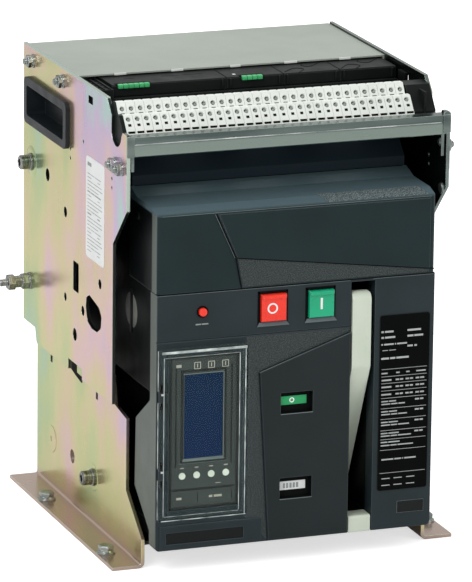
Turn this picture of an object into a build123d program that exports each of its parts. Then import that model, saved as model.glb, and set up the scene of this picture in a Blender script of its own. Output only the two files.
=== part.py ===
import os
from math import cos, pi, radians, sin, tan

from build123d import *

os.makedirs("parts", exist_ok=True)

# Sizes in millimetres: X to the right, Y to the back, Z up, feet standing on z = 0
# Chassis sheet metal
chassis_width = 282.0
chassis_height = 389.0
plate_gauge = 3.0
plate_depth = 269.0
plate_bottom = 133.0
plate_tab_drop = 84.0
plate_waist_drop = 119.5
plate_nose_drop = 21.0
plate_waist_inset = 34.5
plate_rear_step_height = 12.5
plate_rear_step_length = 32.0
foot_span = 252.0
foot_gauge = 3.0
foot_length = 276.0
foot_front = 1.0
foot_lap = 12.0
flange_reach = 25.0
bend_radius = 5.0
foot_waist_inset = 40.0
foot_toe_height = 25.0
foot_knee_height = 56.0
foot_shoulder_z = 117.6
foot_shoulder_length = 29.0
foot_shoulder_rise = 4.2
foot_shoulder_lead = 6.0

# Cut-outs of the side plates, as distances behind the front edge and above the ground
grip_center_y = 200.8
grip_drop = 46.0
grip_length = 112.0
grip_height = 40.0
grip_corner = 6.0
grip_wall = 4.0
grip_depth = 15.0
grip_rim = 4.0
sight_hole_y = 82.0
sight_hole_z = 198.0
sight_hole_corner = 4.0
slot_hole_y = 128.0
slot_hole_z = 218.0
slot_hole_width = 15.0
slot_hole_height = 25.5
slot_hole_corner = 2.0
key_hole_width = 12.0
key_hole_height = 6.5
pilot_radius = 1.6
notch_front_y = 111.0
notch_width = 37.0
notch_height = 9.5
foot_hole_radius = 6.0
foot_hole_y = 180.0
foot_hole_z = 45.0
foot_square = 6.0
foot_square_z = 116.3

# Bosses, stud and bolts
boss_radius = 6.2
boss_length = 10.9
boss_collar_reach = 1.1
boss_collar_length = 2.2
boss_socket_radius = 3.2
boss_socket_depth = 6.0
boss_rear_y = 247.5
boss_rear_drop = 99.7
boss_foot_y = 124.1
boss_foot_z = 42.8
stud_y = 251.0
stud_z = 183.4
stud_radius = 3.2
stud_length = 27.5
stud_nut_across = 12.0
stud_nut_height = 6.8
stud_sleeve_radius = 5.2
stud_sleeve_length = 5.4
stud_washer_radius = 7.4
stud_washer_height = 1.7
bolt_head_across = 10.0
bolt_head_height = 6.0
anchor_rear_y = 198.0
anchor_inset = 17.0
anchor_front_y = 41.0
anchor_radius = 5.0
anchor_head_across = 13.0
anchor_head_height = 5.5
anchor_washer_radius = 8.0
anchor_washer_height = 1.6
spacer_radius = 5.0
spacer_places = [92.0, 180.0]

# Base pan, guide rails and rear contact base
pan_gauge = 3.0
pan_floor = 0.0
pan_front = 60.0
pan_side_height = 62.0
rail_shelf_width = 16.0
rail_shelf_height = 24.0
rail_gauge = 3.0
rear_base_thickness = 34.0
rear_base_drop = 71.0
rear_base_gap = 3.0
barrier_reach = 20.0
barrier_width = 5.0
pole_pitch = 70.0
terminal_width = 50.0
terminal_thickness = 10.0
terminal_reach = 48.0
terminal_lower_z = 115.0
terminal_upper_z = 240.0
terminal_hole_radius = 5.5
terminal_hole_spacing = 25.0
terminal_hole_inset = 15.0
terminal_corner = 4.0
blade_reach = 20.0

# Top of the chassis
cover_gauge = 1.5
cover_front_y = 140.5
cover_rear_y = 272.0
cover_drop = 2.0
cover_flange = 14.0
shelf_drop = 37.0
shelf_gauge = 4.0
shelf_slot_y = 80.0
shelf_slot_row = 30.0
shelf_slot_length = 40.0
shelf_slot_width = 8.0
module_front_y = 108.0
module_pitch = 50.6
module_gap = 0.6
module_top_drop = 4.5
module_lip_height = 9.5
module_lip_reach = 4.0
end_bracket_width = 21.0
bracket_drop = 6.5
bracket_lead = 6.0
bracket_rib_pitch = 8.0
bracket_rib_depth = 3.0
strip_top_y = 40.0
strip_top_drop = 2.0
strip_ledge_y = 34.4
strip_ledge_drop = 10.9
strip_ledge_reach = 5.0
strip_bottom_y = 17.0
strip_bottom_drop = 26.2
strip_back_y = 56.0
strip_right_end = 114.0
strip_tier_shift = 2.4
strip_cover_gauge = 1.1
cross_rail_height = 15.0
cross_rail_drop = 23.0
cross_rail_depth = 11.0
cross_rail_gauge = 1.5
cross_rail_roll = 1.8

# Breaker housing
front_width = 243.4
front_reach = 20.4
front_depth = 14.8
front_bottom = 20.2
front_seam = 238.4
front_drop = 85.3
front_slope_rise = 4.3
front_step_y = 30.0
front_step_rise = 4.9
front_back_y = 47.0
front_back_rise = 10.3
seam_gap = 0.6
front_corner = 4.0
cheek_thickness = 3.0
cheek_shoulder_z = 146.0
cheek_upper_z = 122.0
cheek_back_y = 31.0
cheek_lower_z = 63.5
case_wide_from = 152.0
case_width = 240.0
case_narrow_width = 200.0
case_bottom_gap = 0.3
case_headroom = 16.0
case_back_y = 205.0
case_bevel = 14.0
skid_clearance = 2.0
skid_height = 12.0
side_disc_y = 46.8
side_disc_z = 208.8
side_disc_radius = 15.0
side_disc_depth = 2.0
jaw_width = 44.0
jaw_thickness = 7.0
jaw_reach = 24.0
jaw_gap = 1.0
jaw_root = 6.0

# Front panel pieces, as distances right of the centre line and above the ground
controller_left = -110.0
controller_width = 61.0
controller_bottom = 54.5
controller_height = 130.5
controller_recess = 1.0
pocket_clearance = 0.4
display_left = -97.0
display_width = 34.2
display_bottom = 97.5
display_height = 71.7
display_depth = 1.2
key_radius = 2.8
key_height = 83.0
key_pitch = 12.7
key_first = -98.3
key_proud = 0.8
lid_left = -120.6
lid_width = 76.2
lid_bottom = 47.6
lid_height = 144.6
lid_depth = 7.0
lid_wall = 1.6
lid_clearance = 0.6
lid_barrel_radius = 2.8
lid_pin_radius = 1.5
lid_pin_length = 20.0
lid_knuckle_height = 8.0
lid_upper_knuckle_z = 152.8
lid_lower_knuckle_z = 86.8
lid_knuckle_gap = 0.6
latch_bottom = 118.0
latch_height = 10.0
latch_reach = 2.0
button_width = 21.6
button_height = 22.6
off_center = -20.9
on_center = 20.9
button_center_z = 220.6
button_proud = 3.6
button_depth = 13.0
button_travel = 4.0
button_clearance = 0.6
button_stem_radius = 4.0
button_stem_length = 22.0
button_ridge = 1.6
stem_clearance = 0.05
reset_center = -82.2
reset_height = 221.6
reset_radius = 3.5
reset_proud = 3.2
reset_travel = 2.5
panel_proud = 2.0
panel_left_top = -32.1
panel_left_bottom = -23.0
panel_right = 47.4
panel_low_z = 166.0
panel_high_z = 193.5
window_left = -13.5
window_width = 28.2
window_height = 18.0
window_upper_z = 129.0
window_lower_z = 55.8
window_depth = 5.0
flag_width = 23.4
flag_height = 7.2
flag_lift = 1.2
flag_thickness = 1.0
nameplate_left = 73.9
nameplate_width = 44.0
nameplate_bottom = 54.0
nameplate_height = 151.0
nameplate_thickness = 0.8
lower_panel_width = 93.0
lower_panel_height = 20.6
lower_panel_proud = 0.8
lower_panel_recess_inset = 5.5
lower_panel_recess_rise = 5.3
lower_panel_recess_width = 67.6
lower_panel_recess_height = 9.6
ledge_line_z = 197.7
tag_left = 91.8
tag_bottom = 33.5
tag_width = 23.6
tag_height = 10.0
tag_proud = 0.6
groove_width = 1.2
groove_depth = 1.0
raised_panel_proud = 1.0
hood_groove_top_x = -71.2
hood_groove_knee_x = -53.9
hood_groove_low_x = -48.9
hood_groove_share = 0.404

# Charging handle and its slot
handle_left = 48.9
handle_width = 16.3
handle_clearance = 1.2
handle_clearance_right = 3.9
handle_corner = 2.4
handle_top = 227.0
handle_knee = 165.0
handle_proud = 1.8
handle_section = 15.0
handle_pivot_y = 38.0
handle_pivot_z = 50.0
handle_eye_radius = 11.0
handle_pin_radius = 4.0
handle_pin_clearance = 0.05
slot_depth = 76.0
slot_floor = 33.0
slot_bridge = 2.0
handle_rest_height = 14.0
pin_seat = 6.0
reset_bore_depth = 16.0
key_depth = 4.0

# Values worked out from the sizes above
plate_tab_bottom = chassis_height - plate_tab_drop
plate_waist_top = chassis_height - plate_waist_drop
plate_nose_top = chassis_height - plate_nose_drop
grip_center_z = chassis_height - grip_drop
boss_rear_z = chassis_height - boss_rear_drop
rear_base_top = chassis_height - rear_base_drop
shelf_bottom = chassis_height - shelf_drop
strip_bottom_z = chassis_height - strip_bottom_drop
strip_top_z = chassis_height - strip_top_drop
strip_ledge_z = chassis_height - strip_ledge_drop
cross_rail_top = chassis_height - cross_rail_drop
case_top = shelf_bottom - case_headroom
front_top = chassis_height - front_drop
front_slope_top = front_top + front_slope_rise
front_step_z = front_top + front_step_rise
front_back_z = front_top + front_back_rise
hood_groove_knee_z = front_seam + hood_groove_share * (front_top - front_seam)
depth_origin = (foot_front + foot_length) / 2
half_chassis = chassis_width / 2
inner_face = half_chassis - plate_gauge
half_foot = foot_span / 2
foot_inner = half_foot - foot_gauge
anchor_x = half_foot + anchor_inset
front_plane = -front_reach
front_rear = front_plane + front_depth
foot_top = plate_bottom + foot_lap
foot_shoulder_back = foot_front + foot_waist_inset + foot_shoulder_length
pan_top = pan_floor + pan_gauge
pan_inner = foot_inner - pan_gauge
rear_base_back = foot_length - 2.0
rear_base_front = rear_base_back - rear_base_thickness
case_bottom = rail_shelf_height + rail_gauge + case_bottom_gap
half_front = front_width / 2
half_case = case_width / 2
half_narrow = case_narrow_width / 2
slot_left = handle_left - handle_clearance
slot_width = handle_width + handle_clearance + handle_clearance_right
lid_back = front_plane - lid_clearance
lid_axis_x = lid_left + lid_barrel_radius
lid_axis_y = lid_back - lid_barrel_radius
lid_knuckles = [lid_lower_knuckle_z, lid_upper_knuckle_z]
poles = [-pole_pitch, 0.0, pole_pitch]
terminal_heights = [terminal_lower_z, terminal_upper_z]
shelf_top = shelf_bottom + shelf_gauge
module_top = chassis_height - module_top_drop
bracket_top = chassis_height - bracket_drop
module_first = -inner_face + end_bracket_width
button_front = front_plane - button_proud
button_back = button_front + button_depth


# Sketch planes seen from the side, the front and the top; depths are measured back from the
# front edge of the side plates, and the origin lies halfway along the feet
def side_view(x):
    return Plane(origin=(x, -depth_origin, 0.0), x_dir=(0.0, 1.0, 0.0), z_dir=(1.0, 0.0, 0.0))


def front_view(y):
    return Plane(origin=(0.0, y - depth_origin, 0.0), x_dir=(1.0, 0.0, 0.0), z_dir=(0.0, -1.0, 0.0))


def top_view(z):
    return Plane(origin=(0.0, -depth_origin, z), x_dir=(1.0, 0.0, 0.0), z_dir=(0.0, 0.0, 1.0))


# A rectangle given by its corner and size, on the sketch plane in use
def corner_rectangle(left, bottom, width, height, mode=Mode.ADD):
    with Locations((left + width / 2, bottom + height / 2)):
        Rectangle(width, height, mode=mode)


# Round holes of the side plates: depth, height and radius, the upper ones measured from the top edge
plate_holes = [
    (204.0, chassis_height - 101.0, 5.5),
    (156.3, chassis_height - 121.8, 4.5),
    (66.0, chassis_height - 161.5, 4.2),
    (155.6, plate_bottom + 60.8, 3.6),
    (109.4, plate_bottom + 60.4, 4.2),
    (130.2, plate_bottom + 34.5, 5.4),
]

# Small pilot holes below the grip and behind the nose
pilot_places = [
    (110.1, chassis_height - 50.7),
    (143.8, chassis_height - 64.4),
    (143.8, chassis_height - 72.4),
    (37.3, chassis_height - 65.0),
    (37.3, chassis_height - 72.8),
]

# Sight hole: rounded hole with a sloping crown, drawn about its own middle
with BuildSketch() as sight_hole:
    with BuildLine():
        Polyline(
            (19.0, 9.5),
            (10.5, 13.5),
            (-14.5, 8.7),
            (-21.0, 2.5),
            (-19.0, -8.0),
            (-9.5, -13.5),
            (5.0, -14.0),
            (16.0, -10.5),
            (20.5, 0.5),
            (19.0, 9.5),
        )
    make_face()
    fillet(sight_hole.vertices(), radius=sight_hole_corner)

# Left side plate: folded profile with waist, notched nose and its rows of holes
with BuildPart() as left_side_plate:
    with BuildSketch(side_view(-half_chassis)):
        with BuildLine():
            Polyline(
                (plate_waist_inset, plate_bottom),
                (plate_depth - plate_rear_step_length - 4.0, plate_bottom),
                (plate_depth - plate_rear_step_length, plate_bottom + plate_rear_step_height),
                (plate_depth, plate_bottom + plate_rear_step_height),
                (plate_depth, chassis_height),
                (51.0, chassis_height),
                (39.5, chassis_height - 12.5),
                (39.5, chassis_height - 27.0),
            )
            ThreePointArc((39.5, chassis_height - 27.0), (24.0, chassis_height - 35.5), (14.0, plate_nose_top - 4.0))
            Line((14.0, plate_nose_top - 4.0), (11.0, plate_nose_top))
            Line((11.0, plate_nose_top), (3.0, plate_nose_top))
            Line((3.0, plate_nose_top), (0.0, plate_nose_top - 3.0))
            Polyline(
                (0.0, plate_nose_top - 3.0),
                (0.0, plate_tab_bottom),
                (plate_waist_inset, plate_waist_top),
                (plate_waist_inset, plate_bottom),
            )
        make_face()
        with Locations((grip_center_y, grip_center_z)):
            RectangleRounded(
                grip_length - 2 * grip_wall, grip_height - 2 * grip_wall, grip_corner / 2, mode=Mode.SUBTRACT
            )
        with Locations((sight_hole_y, sight_hole_z)):
            add(sight_hole.sketch, mode=Mode.SUBTRACT)
        with Locations((slot_hole_y, slot_hole_z)):
            RectangleRounded(slot_hole_width, slot_hole_height, slot_hole_corner, mode=Mode.SUBTRACT)
        with Locations((92.0, chassis_height - 11.5)):
            Rectangle(key_hole_width, key_hole_height, mode=Mode.SUBTRACT)
        for hole_y, hole_z, hole_radius in plate_holes:
            with Locations((hole_y, hole_z)):
                Circle(hole_radius, mode=Mode.SUBTRACT)
        with Locations(*pilot_places):
            Circle(pilot_radius, mode=Mode.SUBTRACT)
        with Locations((boss_rear_y, boss_rear_z)):
            Circle(boss_radius, mode=Mode.SUBTRACT)
        with Locations((stud_y, stud_z)):
            Circle(stud_radius, mode=Mode.SUBTRACT)
        corner_rectangle(notch_front_y, plate_bottom, notch_width, notch_height, mode=Mode.SUBTRACT)
    extrude(amount=plate_gauge)
left_side_plate.part.label = "left_side_plate"
export_step(left_side_plate.part, "parts/left_side_plate.step")

with BuildPart() as right_side_plate:
    mirror(left_side_plate.part, about=Plane.YZ)
right_side_plate.part.label = "right_side_plate"
export_step(right_side_plate.part, "parts/right_side_plate.step")

# Square holes near the top of each foot, ahead of and behind the waist
foot_square_places = [(237.2, foot_square_z), (116.2, foot_square_z)]

# Left foot: cranked web under the side plate with an out-turned flange
with BuildPart() as left_foot:
    with BuildSketch(side_view(-half_foot)):
        with BuildLine():
            Polyline(
                (foot_front, 0.0),
                (foot_front, foot_toe_height),
                (foot_front + foot_waist_inset, foot_knee_height),
                (foot_front + foot_waist_inset, foot_shoulder_z),
                (foot_shoulder_back, foot_shoulder_z + foot_shoulder_rise),
                (foot_shoulder_back + foot_shoulder_lead, foot_top),
                (foot_length, foot_top),
                (foot_length, 0.0),
                (foot_front, 0.0),
            )
        make_face()
        with Locations((foot_hole_y, foot_hole_z)):
            Circle(foot_hole_radius, mode=Mode.SUBTRACT)
        with Locations((boss_foot_y, boss_foot_z)):
            Circle(boss_radius, mode=Mode.SUBTRACT)
        with Locations(*foot_square_places):
            Rectangle(foot_square, foot_square, mode=Mode.SUBTRACT)
    extrude(amount=foot_gauge)
    with BuildSketch(top_view(0.0)):
        corner_rectangle(-half_foot - flange_reach, foot_front, flange_reach + foot_gauge, foot_length - foot_front)
    extrude(amount=foot_gauge)
    crease = left_foot.edges().filter_by(Axis.Y).filter_by_position(
        Axis.X, -half_foot - 0.1, -half_foot + 0.1
    ).filter_by_position(Axis.Z, foot_gauge - 0.1, foot_gauge + 0.1)
    fillet(crease, radius=bend_radius - foot_gauge)
    outer_bend = left_foot.edges().filter_by(Axis.Y).filter_by_position(
        Axis.X, -foot_inner - 0.1, -foot_inner + 0.1
    ).filter_by_position(Axis.Z, -0.1, 0.1)
    fillet(outer_bend, radius=bend_radius)
    with BuildSketch(top_view(0.0)):
        with Locations((-anchor_x, anchor_front_y), (-anchor_x, anchor_rear_y)):
            Circle(anchor_radius)
    extrude(amount=foot_gauge, mode=Mode.SUBTRACT)
left_foot.part.label = "left_foot"
export_step(left_foot.part, "parts/left_foot.step")

with BuildPart() as right_foot:
    mirror(left_foot.part, about=Plane.YZ)
right_foot.part.label = "right_foot"
export_step(right_foot.part, "parts/right_foot.step")

# Anchor bolts with washers that sit in the flange holes
anchor_places = [(side * anchor_x, y) for side in (-1, 1) for y in (anchor_front_y, anchor_rear_y)]
with BuildPart() as anchor_bolts:
    with BuildSketch(top_view(0.0)):
        with Locations(*anchor_places):
            Circle(anchor_radius)
    extrude(amount=foot_gauge)
    with BuildSketch(top_view(foot_gauge)):
        with Locations(*anchor_places):
            Circle(anchor_washer_radius)
    extrude(amount=anchor_washer_height)
    with BuildSketch(top_view(foot_gauge + anchor_washer_height)):
        with Locations(*anchor_places):
            RegularPolygon(anchor_head_across / 2, 6, major_radius=False)
    extrude(amount=anchor_head_height)
anchor_bolts.part.label = "anchor_bolts"
export_step(anchor_bolts.part, "parts/anchor_bolts.step")

# Spacers between each side plate and the top of its foot
with BuildPart() as plate_spacers:
    with BuildSketch(side_view(-inner_face)):
        with Locations(*[(y, plate_bottom + foot_lap / 2) for y in spacer_places]):
            Circle(spacer_radius)
    extrude(amount=inner_face - half_foot)
    mirror(about=Plane.YZ)
plate_spacers.part.label = "plate_spacers"
export_step(plate_spacers.part, "parts/plate_spacers.step")

# Base pan: floor sheet with upturned sides fixed inside the feet
with BuildPart() as base_pan:
    with BuildSketch(front_view(pan_front)):
        with BuildLine():
            Polyline(
                (-foot_inner, pan_floor),
                (foot_inner, pan_floor),
                (foot_inner, pan_floor + pan_side_height),
                (pan_inner, pan_floor + pan_side_height),
                (pan_inner, pan_top),
                (-pan_inner, pan_top),
                (-pan_inner, pan_floor + pan_side_height),
                (-foot_inner, pan_floor + pan_side_height),
                (-foot_inner, pan_floor),
            )
        make_face()
    extrude(amount=-(rear_base_back - pan_front))
base_pan.part.label = "base_pan"
export_step(base_pan.part, "parts/base_pan.step")

# Guide rails: angles on the pan floor that carry the breaker's skids
with BuildPart() as guide_rails:
    with BuildSketch(front_view(pan_front)):
        with BuildLine():
            Polyline(
                (-pan_inner, pan_top),
                (-pan_inner, rail_shelf_height + rail_gauge),
                (-pan_inner + rail_shelf_width, rail_shelf_height + rail_gauge),
                (-pan_inner + rail_shelf_width, rail_shelf_height),
                (-pan_inner + rail_gauge, rail_shelf_height),
                (-pan_inner + rail_gauge, pan_top),
                (-pan_inner, pan_top),
            )
        make_face()
    extrude(amount=-(rear_base_front - rear_base_gap - pan_front))
    mirror(about=Plane.YZ)
guide_rails.part.label = "guide_rails"
export_step(guide_rails.part, "parts/guide_rails.step")

# Rear contact base: moulding across the back with a window for each terminal and barriers between poles
with BuildPart() as rear_contact_base:
    with BuildSketch(front_view(rear_base_front)):
        with BuildLine():
            ear_bottom = foot_top + 3.0
            Polyline(
                (-pan_inner, pan_top),
                (pan_inner, pan_top),
                (pan_inner, ear_bottom),
                (inner_face, ear_bottom),
                (inner_face, rear_base_top),
                (-inner_face, rear_base_top),
                (-inner_face, ear_bottom),
                (-pan_inner, ear_bottom),
                (-pan_inner, pan_top),
            )
        make_face()
        with Locations(*[(x, z) for x in poles for z in terminal_heights]):
            Rectangle(terminal_width, terminal_thickness, mode=Mode.SUBTRACT)
    extrude(amount=-rear_base_thickness)
    with BuildSketch(front_view(rear_base_back)):
        with Locations(*[(x, (terminal_lower_z + terminal_upper_z) / 2)
                         for x in (-1.5 * pole_pitch, -0.5 * pole_pitch, 0.5 * pole_pitch, 1.5 * pole_pitch)]):
            Rectangle(barrier_width, terminal_upper_z - terminal_lower_z + 90.0)
    extrude(amount=-barrier_reach)
    with BuildSketch(front_view(rear_base_back)):
        with Locations(*[(x, z) for x in poles for z in terminal_heights]):
            Rectangle(terminal_width + 12.0, terminal_thickness + 12.0)
            Rectangle(terminal_width, terminal_thickness, mode=Mode.SUBTRACT)
    extrude(amount=-4.0)
rear_contact_base.part.label = "rear_contact_base"
export_step(rear_contact_base.part, "parts/rear_contact_base.step")


# Three terminal bars at one height, each with a blade in front and a drilled pad behind
def terminal_row(height):
    with BuildPart() as row:
        with BuildSketch(top_view(height - terminal_thickness / 2)):
            bar_front = rear_base_front - blade_reach
            bar_back = rear_base_back + terminal_reach
            for x in poles:
                corner_rectangle(x - terminal_width / 2, bar_front, terminal_width, bar_back - bar_front)
                with Locations((x - terminal_hole_spacing / 2, bar_back - terminal_hole_inset),
                               (x + terminal_hole_spacing / 2, bar_back - terminal_hole_inset)):
                    Circle(terminal_hole_radius, mode=Mode.SUBTRACT)
        extrude(amount=terminal_thickness)
        outer_corners = row.edges().filter_by(Axis.Z).filter_by(GeomType.LINE).filter_by_position(
            Axis.Y, bar_back - depth_origin - 0.1, bar_back - depth_origin + 0.1
        )
        fillet(outer_corners, radius=terminal_corner)
        blade_edges = row.faces().filter_by(Axis.Y).group_by(Axis.Y)[0].edges().filter_by(Axis.X)
        chamfer(blade_edges, length=2.0)
    return row.part


lower_terminals = terminal_row(terminal_lower_z)
lower_terminals.label = "lower_terminals"
export_step(lower_terminals, "parts/lower_terminals.step")
upper_terminals = terminal_row(terminal_upper_z)
upper_terminals.label = "upper_terminals"
export_step(upper_terminals, "parts/upper_terminals.step")

# Top cover: folded sheet between the side plates
with BuildPart() as top_cover:
    with BuildSketch(front_view(cover_front_y)):
        cover_z = chassis_height - cover_drop
        with BuildLine():
            Polyline(
                (-inner_face, cover_z - cover_flange),
                (-inner_face, cover_z),
                (inner_face, cover_z),
                (inner_face, cover_z - cover_flange),
                (inner_face - cover_gauge, cover_z - cover_flange),
                (inner_face - cover_gauge, cover_z - cover_gauge),
                (-inner_face + cover_gauge, cover_z - cover_gauge),
                (-inner_face + cover_gauge, cover_z - cover_flange),
                (-inner_face, cover_z - cover_flange),
            )
        make_face()
    extrude(amount=-(cover_rear_y - cover_front_y))
    with BuildSketch(front_view(cover_rear_y)):
        corner_rectangle(-inner_face, rear_base_top, 2 * inner_face, cover_z - rear_base_top)
    extrude(amount=cover_gauge)
top_cover.part.label = "top_cover"
export_step(top_cover.part, "parts/top_cover.step")

# Accessory shelf: tray between the side plates that carries the terminal strip and the modules
with BuildPart() as accessory_shelf:
    with BuildSketch(side_view(-inner_face)):
        with BuildLine():
            Polyline(
                (strip_bottom_y + 6.0, shelf_bottom),
                (cover_front_y + 8.0, shelf_bottom),
                (cover_front_y + 8.0, shelf_top),
                (strip_bottom_y + 6.0, shelf_top),
                (strip_bottom_y + 6.0, shelf_bottom),
            )
        make_face()
    extrude(amount=2 * inner_face)
    with BuildSketch(top_view(shelf_bottom)):
        with GridLocations(pole_pitch, shelf_slot_row, 3, 2):
            with Locations((0.0, shelf_slot_y)):
                SlotOverall(shelf_slot_length, shelf_slot_width)
    extrude(amount=shelf_gauge, mode=Mode.SUBTRACT)
accessory_shelf.part.label = "accessory_shelf"
export_step(accessory_shelf.part, "parts/accessory_shelf.step")


# Accessory module: stepped box with a lip along its front, widths counted in module pitches
def accessory_module(first, count):
    width = count * module_pitch - module_gap
    left = module_first + first * module_pitch
    with BuildPart() as module:
        with BuildSketch(side_view(left)):
            with BuildLine():
                Polyline(
                    (module_front_y + module_lip_reach, shelf_top),
                    (cover_front_y + 8.0, shelf_top),
                    (cover_front_y + 8.0, module_top),
                    (module_front_y, module_top),
                    (module_front_y, module_top - module_lip_height),
                    (module_front_y + module_lip_reach, module_top - module_lip_height),
                    (module_front_y + module_lip_reach, shelf_top),
                )
            make_face()
        extrude(amount=width)
        chamfer(module.edges().filter_by(Axis.X).group_by(Axis.Z)[-1].sort_by(Axis.Y)[0], length=1.0)
    return module.part


module_places = [("motor_module", 0, 2), ("auxiliary_module", 2, 1), ("spare_module_1", 3, 1), ("spare_module_2", 4, 1)]
module_parts = []
for module_name, first, count in module_places:
    module_part = accessory_module(first, count)
    module_part.label = module_name
    module_parts.append(module_part)
    export_step(module_part, f"parts/{module_name}.step")

# End bracket of the module row: black ribbed block against the left plate
with BuildPart() as end_bracket:
    with BuildSketch(side_view(-inner_face)):
        corner_rectangle(module_front_y - bracket_lead, shelf_top, cover_front_y - module_front_y + bracket_lead - 0.5,
                         bracket_top - shelf_top)
    extrude(amount=end_bracket_width - module_gap)
    with BuildSketch(top_view(bracket_top)):
        with Locations((-inner_face + end_bracket_width / 2, module_front_y + 16.0)):
            with GridLocations(0.0, bracket_rib_pitch, 1, 4):
                Rectangle(end_bracket_width - 6.0, bracket_rib_pitch - 5.0)
    extrude(amount=-bracket_rib_depth, mode=Mode.SUBTRACT)
end_bracket.part.label = "end_bracket"
export_step(end_bracket.part, "parts/end_bracket.step")


# Outlines of the strip's upper and lower tiers, seen from the side
strip_upper_tier = [
    (strip_ledge_y, shelf_top),
    (strip_ledge_y, strip_ledge_z),
    (strip_top_y, strip_top_z),
    (strip_top_y + 4.0, strip_top_z),
    (strip_back_y, strip_top_z - 12.0),
    (strip_back_y, shelf_top),
]
strip_lower_tier = [
    (strip_bottom_y + 4.0, shelf_top),
    (strip_bottom_y, strip_bottom_z - 3.0),
    (strip_bottom_y, strip_bottom_z),
    (strip_ledge_y - strip_ledge_reach, strip_ledge_z),
    (strip_ledge_y, strip_ledge_z),
    (strip_ledge_y, shelf_top),
]

# Secondary terminal strip: moulding with two slanted tiers, the lower one a little further to the right
strip_left = -inner_face + strip_cover_gauge
strip_lower_left = strip_left + strip_tier_shift
with BuildPart() as terminal_strip:
    with BuildSketch(side_view(strip_left)):
        with BuildLine():
            Polyline(*strip_upper_tier, close=True)
        make_face()
    extrude(amount=strip_right_end - strip_left)
    with BuildSketch(side_view(strip_lower_left)):
        with BuildLine():
            Polyline(*strip_lower_tier, close=True)
        make_face()
    extrude(amount=strip_right_end - strip_left)
terminal_strip.part.label = "terminal_strip"
export_step(terminal_strip.part, "parts/terminal_strip.step")

# Strip end block: black piece that fills the row up to the right plate, and the end cover at the left plate
strip_block_left = strip_right_end + strip_tier_shift
with BuildPart() as strip_end_block:
    with BuildSketch(side_view(strip_block_left)):
        with BuildLine():
            Polyline(
                (strip_bottom_y + 8.0, shelf_top),
                (strip_bottom_y + 8.0, strip_bottom_z + 2.0),
                (strip_top_y, strip_top_z - 3.0),
                (strip_back_y, strip_top_z - 3.0),
                (strip_back_y, shelf_top),
                (strip_bottom_y + 8.0, shelf_top),
            )
        make_face()
    extrude(amount=inner_face - strip_block_left)
    with BuildSketch(side_view(-inner_face)):
        with BuildLine():
            Polyline(*strip_upper_tier, close=True)
        make_face()
    extrude(amount=strip_cover_gauge)
    with BuildSketch(side_view(-inner_face)):
        with BuildLine():
            Polyline(*strip_lower_tier, close=True)
        make_face()
    extrude(amount=strip_cover_gauge + strip_tier_shift)
strip_end_block.part.label = "strip_end_block"
export_step(strip_end_block.part, "parts/strip_end_block.step")

# Cross rail: angle with a rolled lower edge across the front opening
with BuildPart() as cross_rail:
    with BuildSketch(side_view(-inner_face)):
        rail_bottom = cross_rail_top - cross_rail_height
        with BuildLine():
            Polyline(
                (0.0, rail_bottom),
                (0.0, cross_rail_top),
                (cross_rail_depth, cross_rail_top),
                (cross_rail_depth, cross_rail_top - cross_rail_gauge),
                (cross_rail_gauge, cross_rail_top - cross_rail_gauge),
                (cross_rail_gauge, rail_bottom),
                (0.0, rail_bottom),
            )
        make_face()
        with Locations((cross_rail_roll, rail_bottom)):
            Circle(cross_rail_roll)
    extrude(amount=2 * inner_face)
cross_rail.part.label = "cross_rail"
export_step(cross_rail.part, "parts/cross_rail.step")


# Lifting grip: moulded pocket through the side plate with a rim outside
with BuildPart() as left_grip:
    with BuildSketch(side_view(-half_chassis - grip_rim)):
        with Locations((grip_center_y, grip_center_z)):
            RectangleRounded(grip_length, grip_height, grip_corner)
    extrude(amount=grip_rim)
    with BuildSketch(side_view(-half_chassis)):
        with Locations((grip_center_y, grip_center_z)):
            RectangleRounded(grip_length - 2 * grip_wall, grip_height - 2 * grip_wall, grip_corner / 2)
    extrude(amount=grip_depth)
    with BuildSketch(side_view(-half_chassis - grip_rim)):
        with Locations((grip_center_y, grip_center_z)):
            RectangleRounded(grip_length - 3.5 * grip_wall, grip_height - 3.5 * grip_wall, grip_corner / 2)
    extrude(amount=grip_rim + grip_depth - 2.0, mode=Mode.SUBTRACT)
left_grip.part.label = "left_grip"
export_step(left_grip.part, "parts/left_grip.step")

with BuildPart() as right_grip:
    mirror(left_grip.part, about=Plane.YZ)
right_grip.part.label = "right_grip"
export_step(right_grip.part, "parts/right_grip.step")


# One guide boss: turned pin with a collar and a hexagon socket, pointing out of the left side
def guide_boss(face_x, gauge, y, z):
    with BuildPart() as boss:
        with BuildSketch(front_view(y)):
            with BuildLine():
                Polyline(
                    (face_x + gauge, z),
                    (face_x + gauge, z + boss_radius),
                    (face_x, z + boss_radius),
                    (face_x, z + boss_radius + boss_collar_reach),
                    (face_x - boss_collar_length, z + boss_radius + boss_collar_reach),
                    (face_x - boss_collar_length, z + boss_radius),
                    (face_x - boss_length + 1.0, z + boss_radius),
                    (face_x - boss_length, z + boss_radius - 1.0),
                    (face_x - boss_length, z),
                    (face_x + gauge, z),
                )
            make_face()
        revolve(axis=Axis((0.0, y - depth_origin, z), (1.0, 0.0, 0.0)))
        with BuildSketch(side_view(face_x - boss_length)):
            with Locations((y, z)):
                RegularPolygon(boss_socket_radius, 6, major_radius=False)
        extrude(amount=boss_socket_depth, mode=Mode.SUBTRACT)
    return boss.part


with BuildPart() as guide_bosses:
    add(guide_boss(-half_chassis, plate_gauge, boss_rear_y, boss_rear_z))
    add(guide_boss(-half_foot, foot_gauge, boss_foot_y, boss_foot_z))
    mirror(about=Plane.YZ)
guide_bosses.part.label = "guide_bosses"
export_step(guide_bosses.part, "parts/guide_bosses.step")

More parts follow.
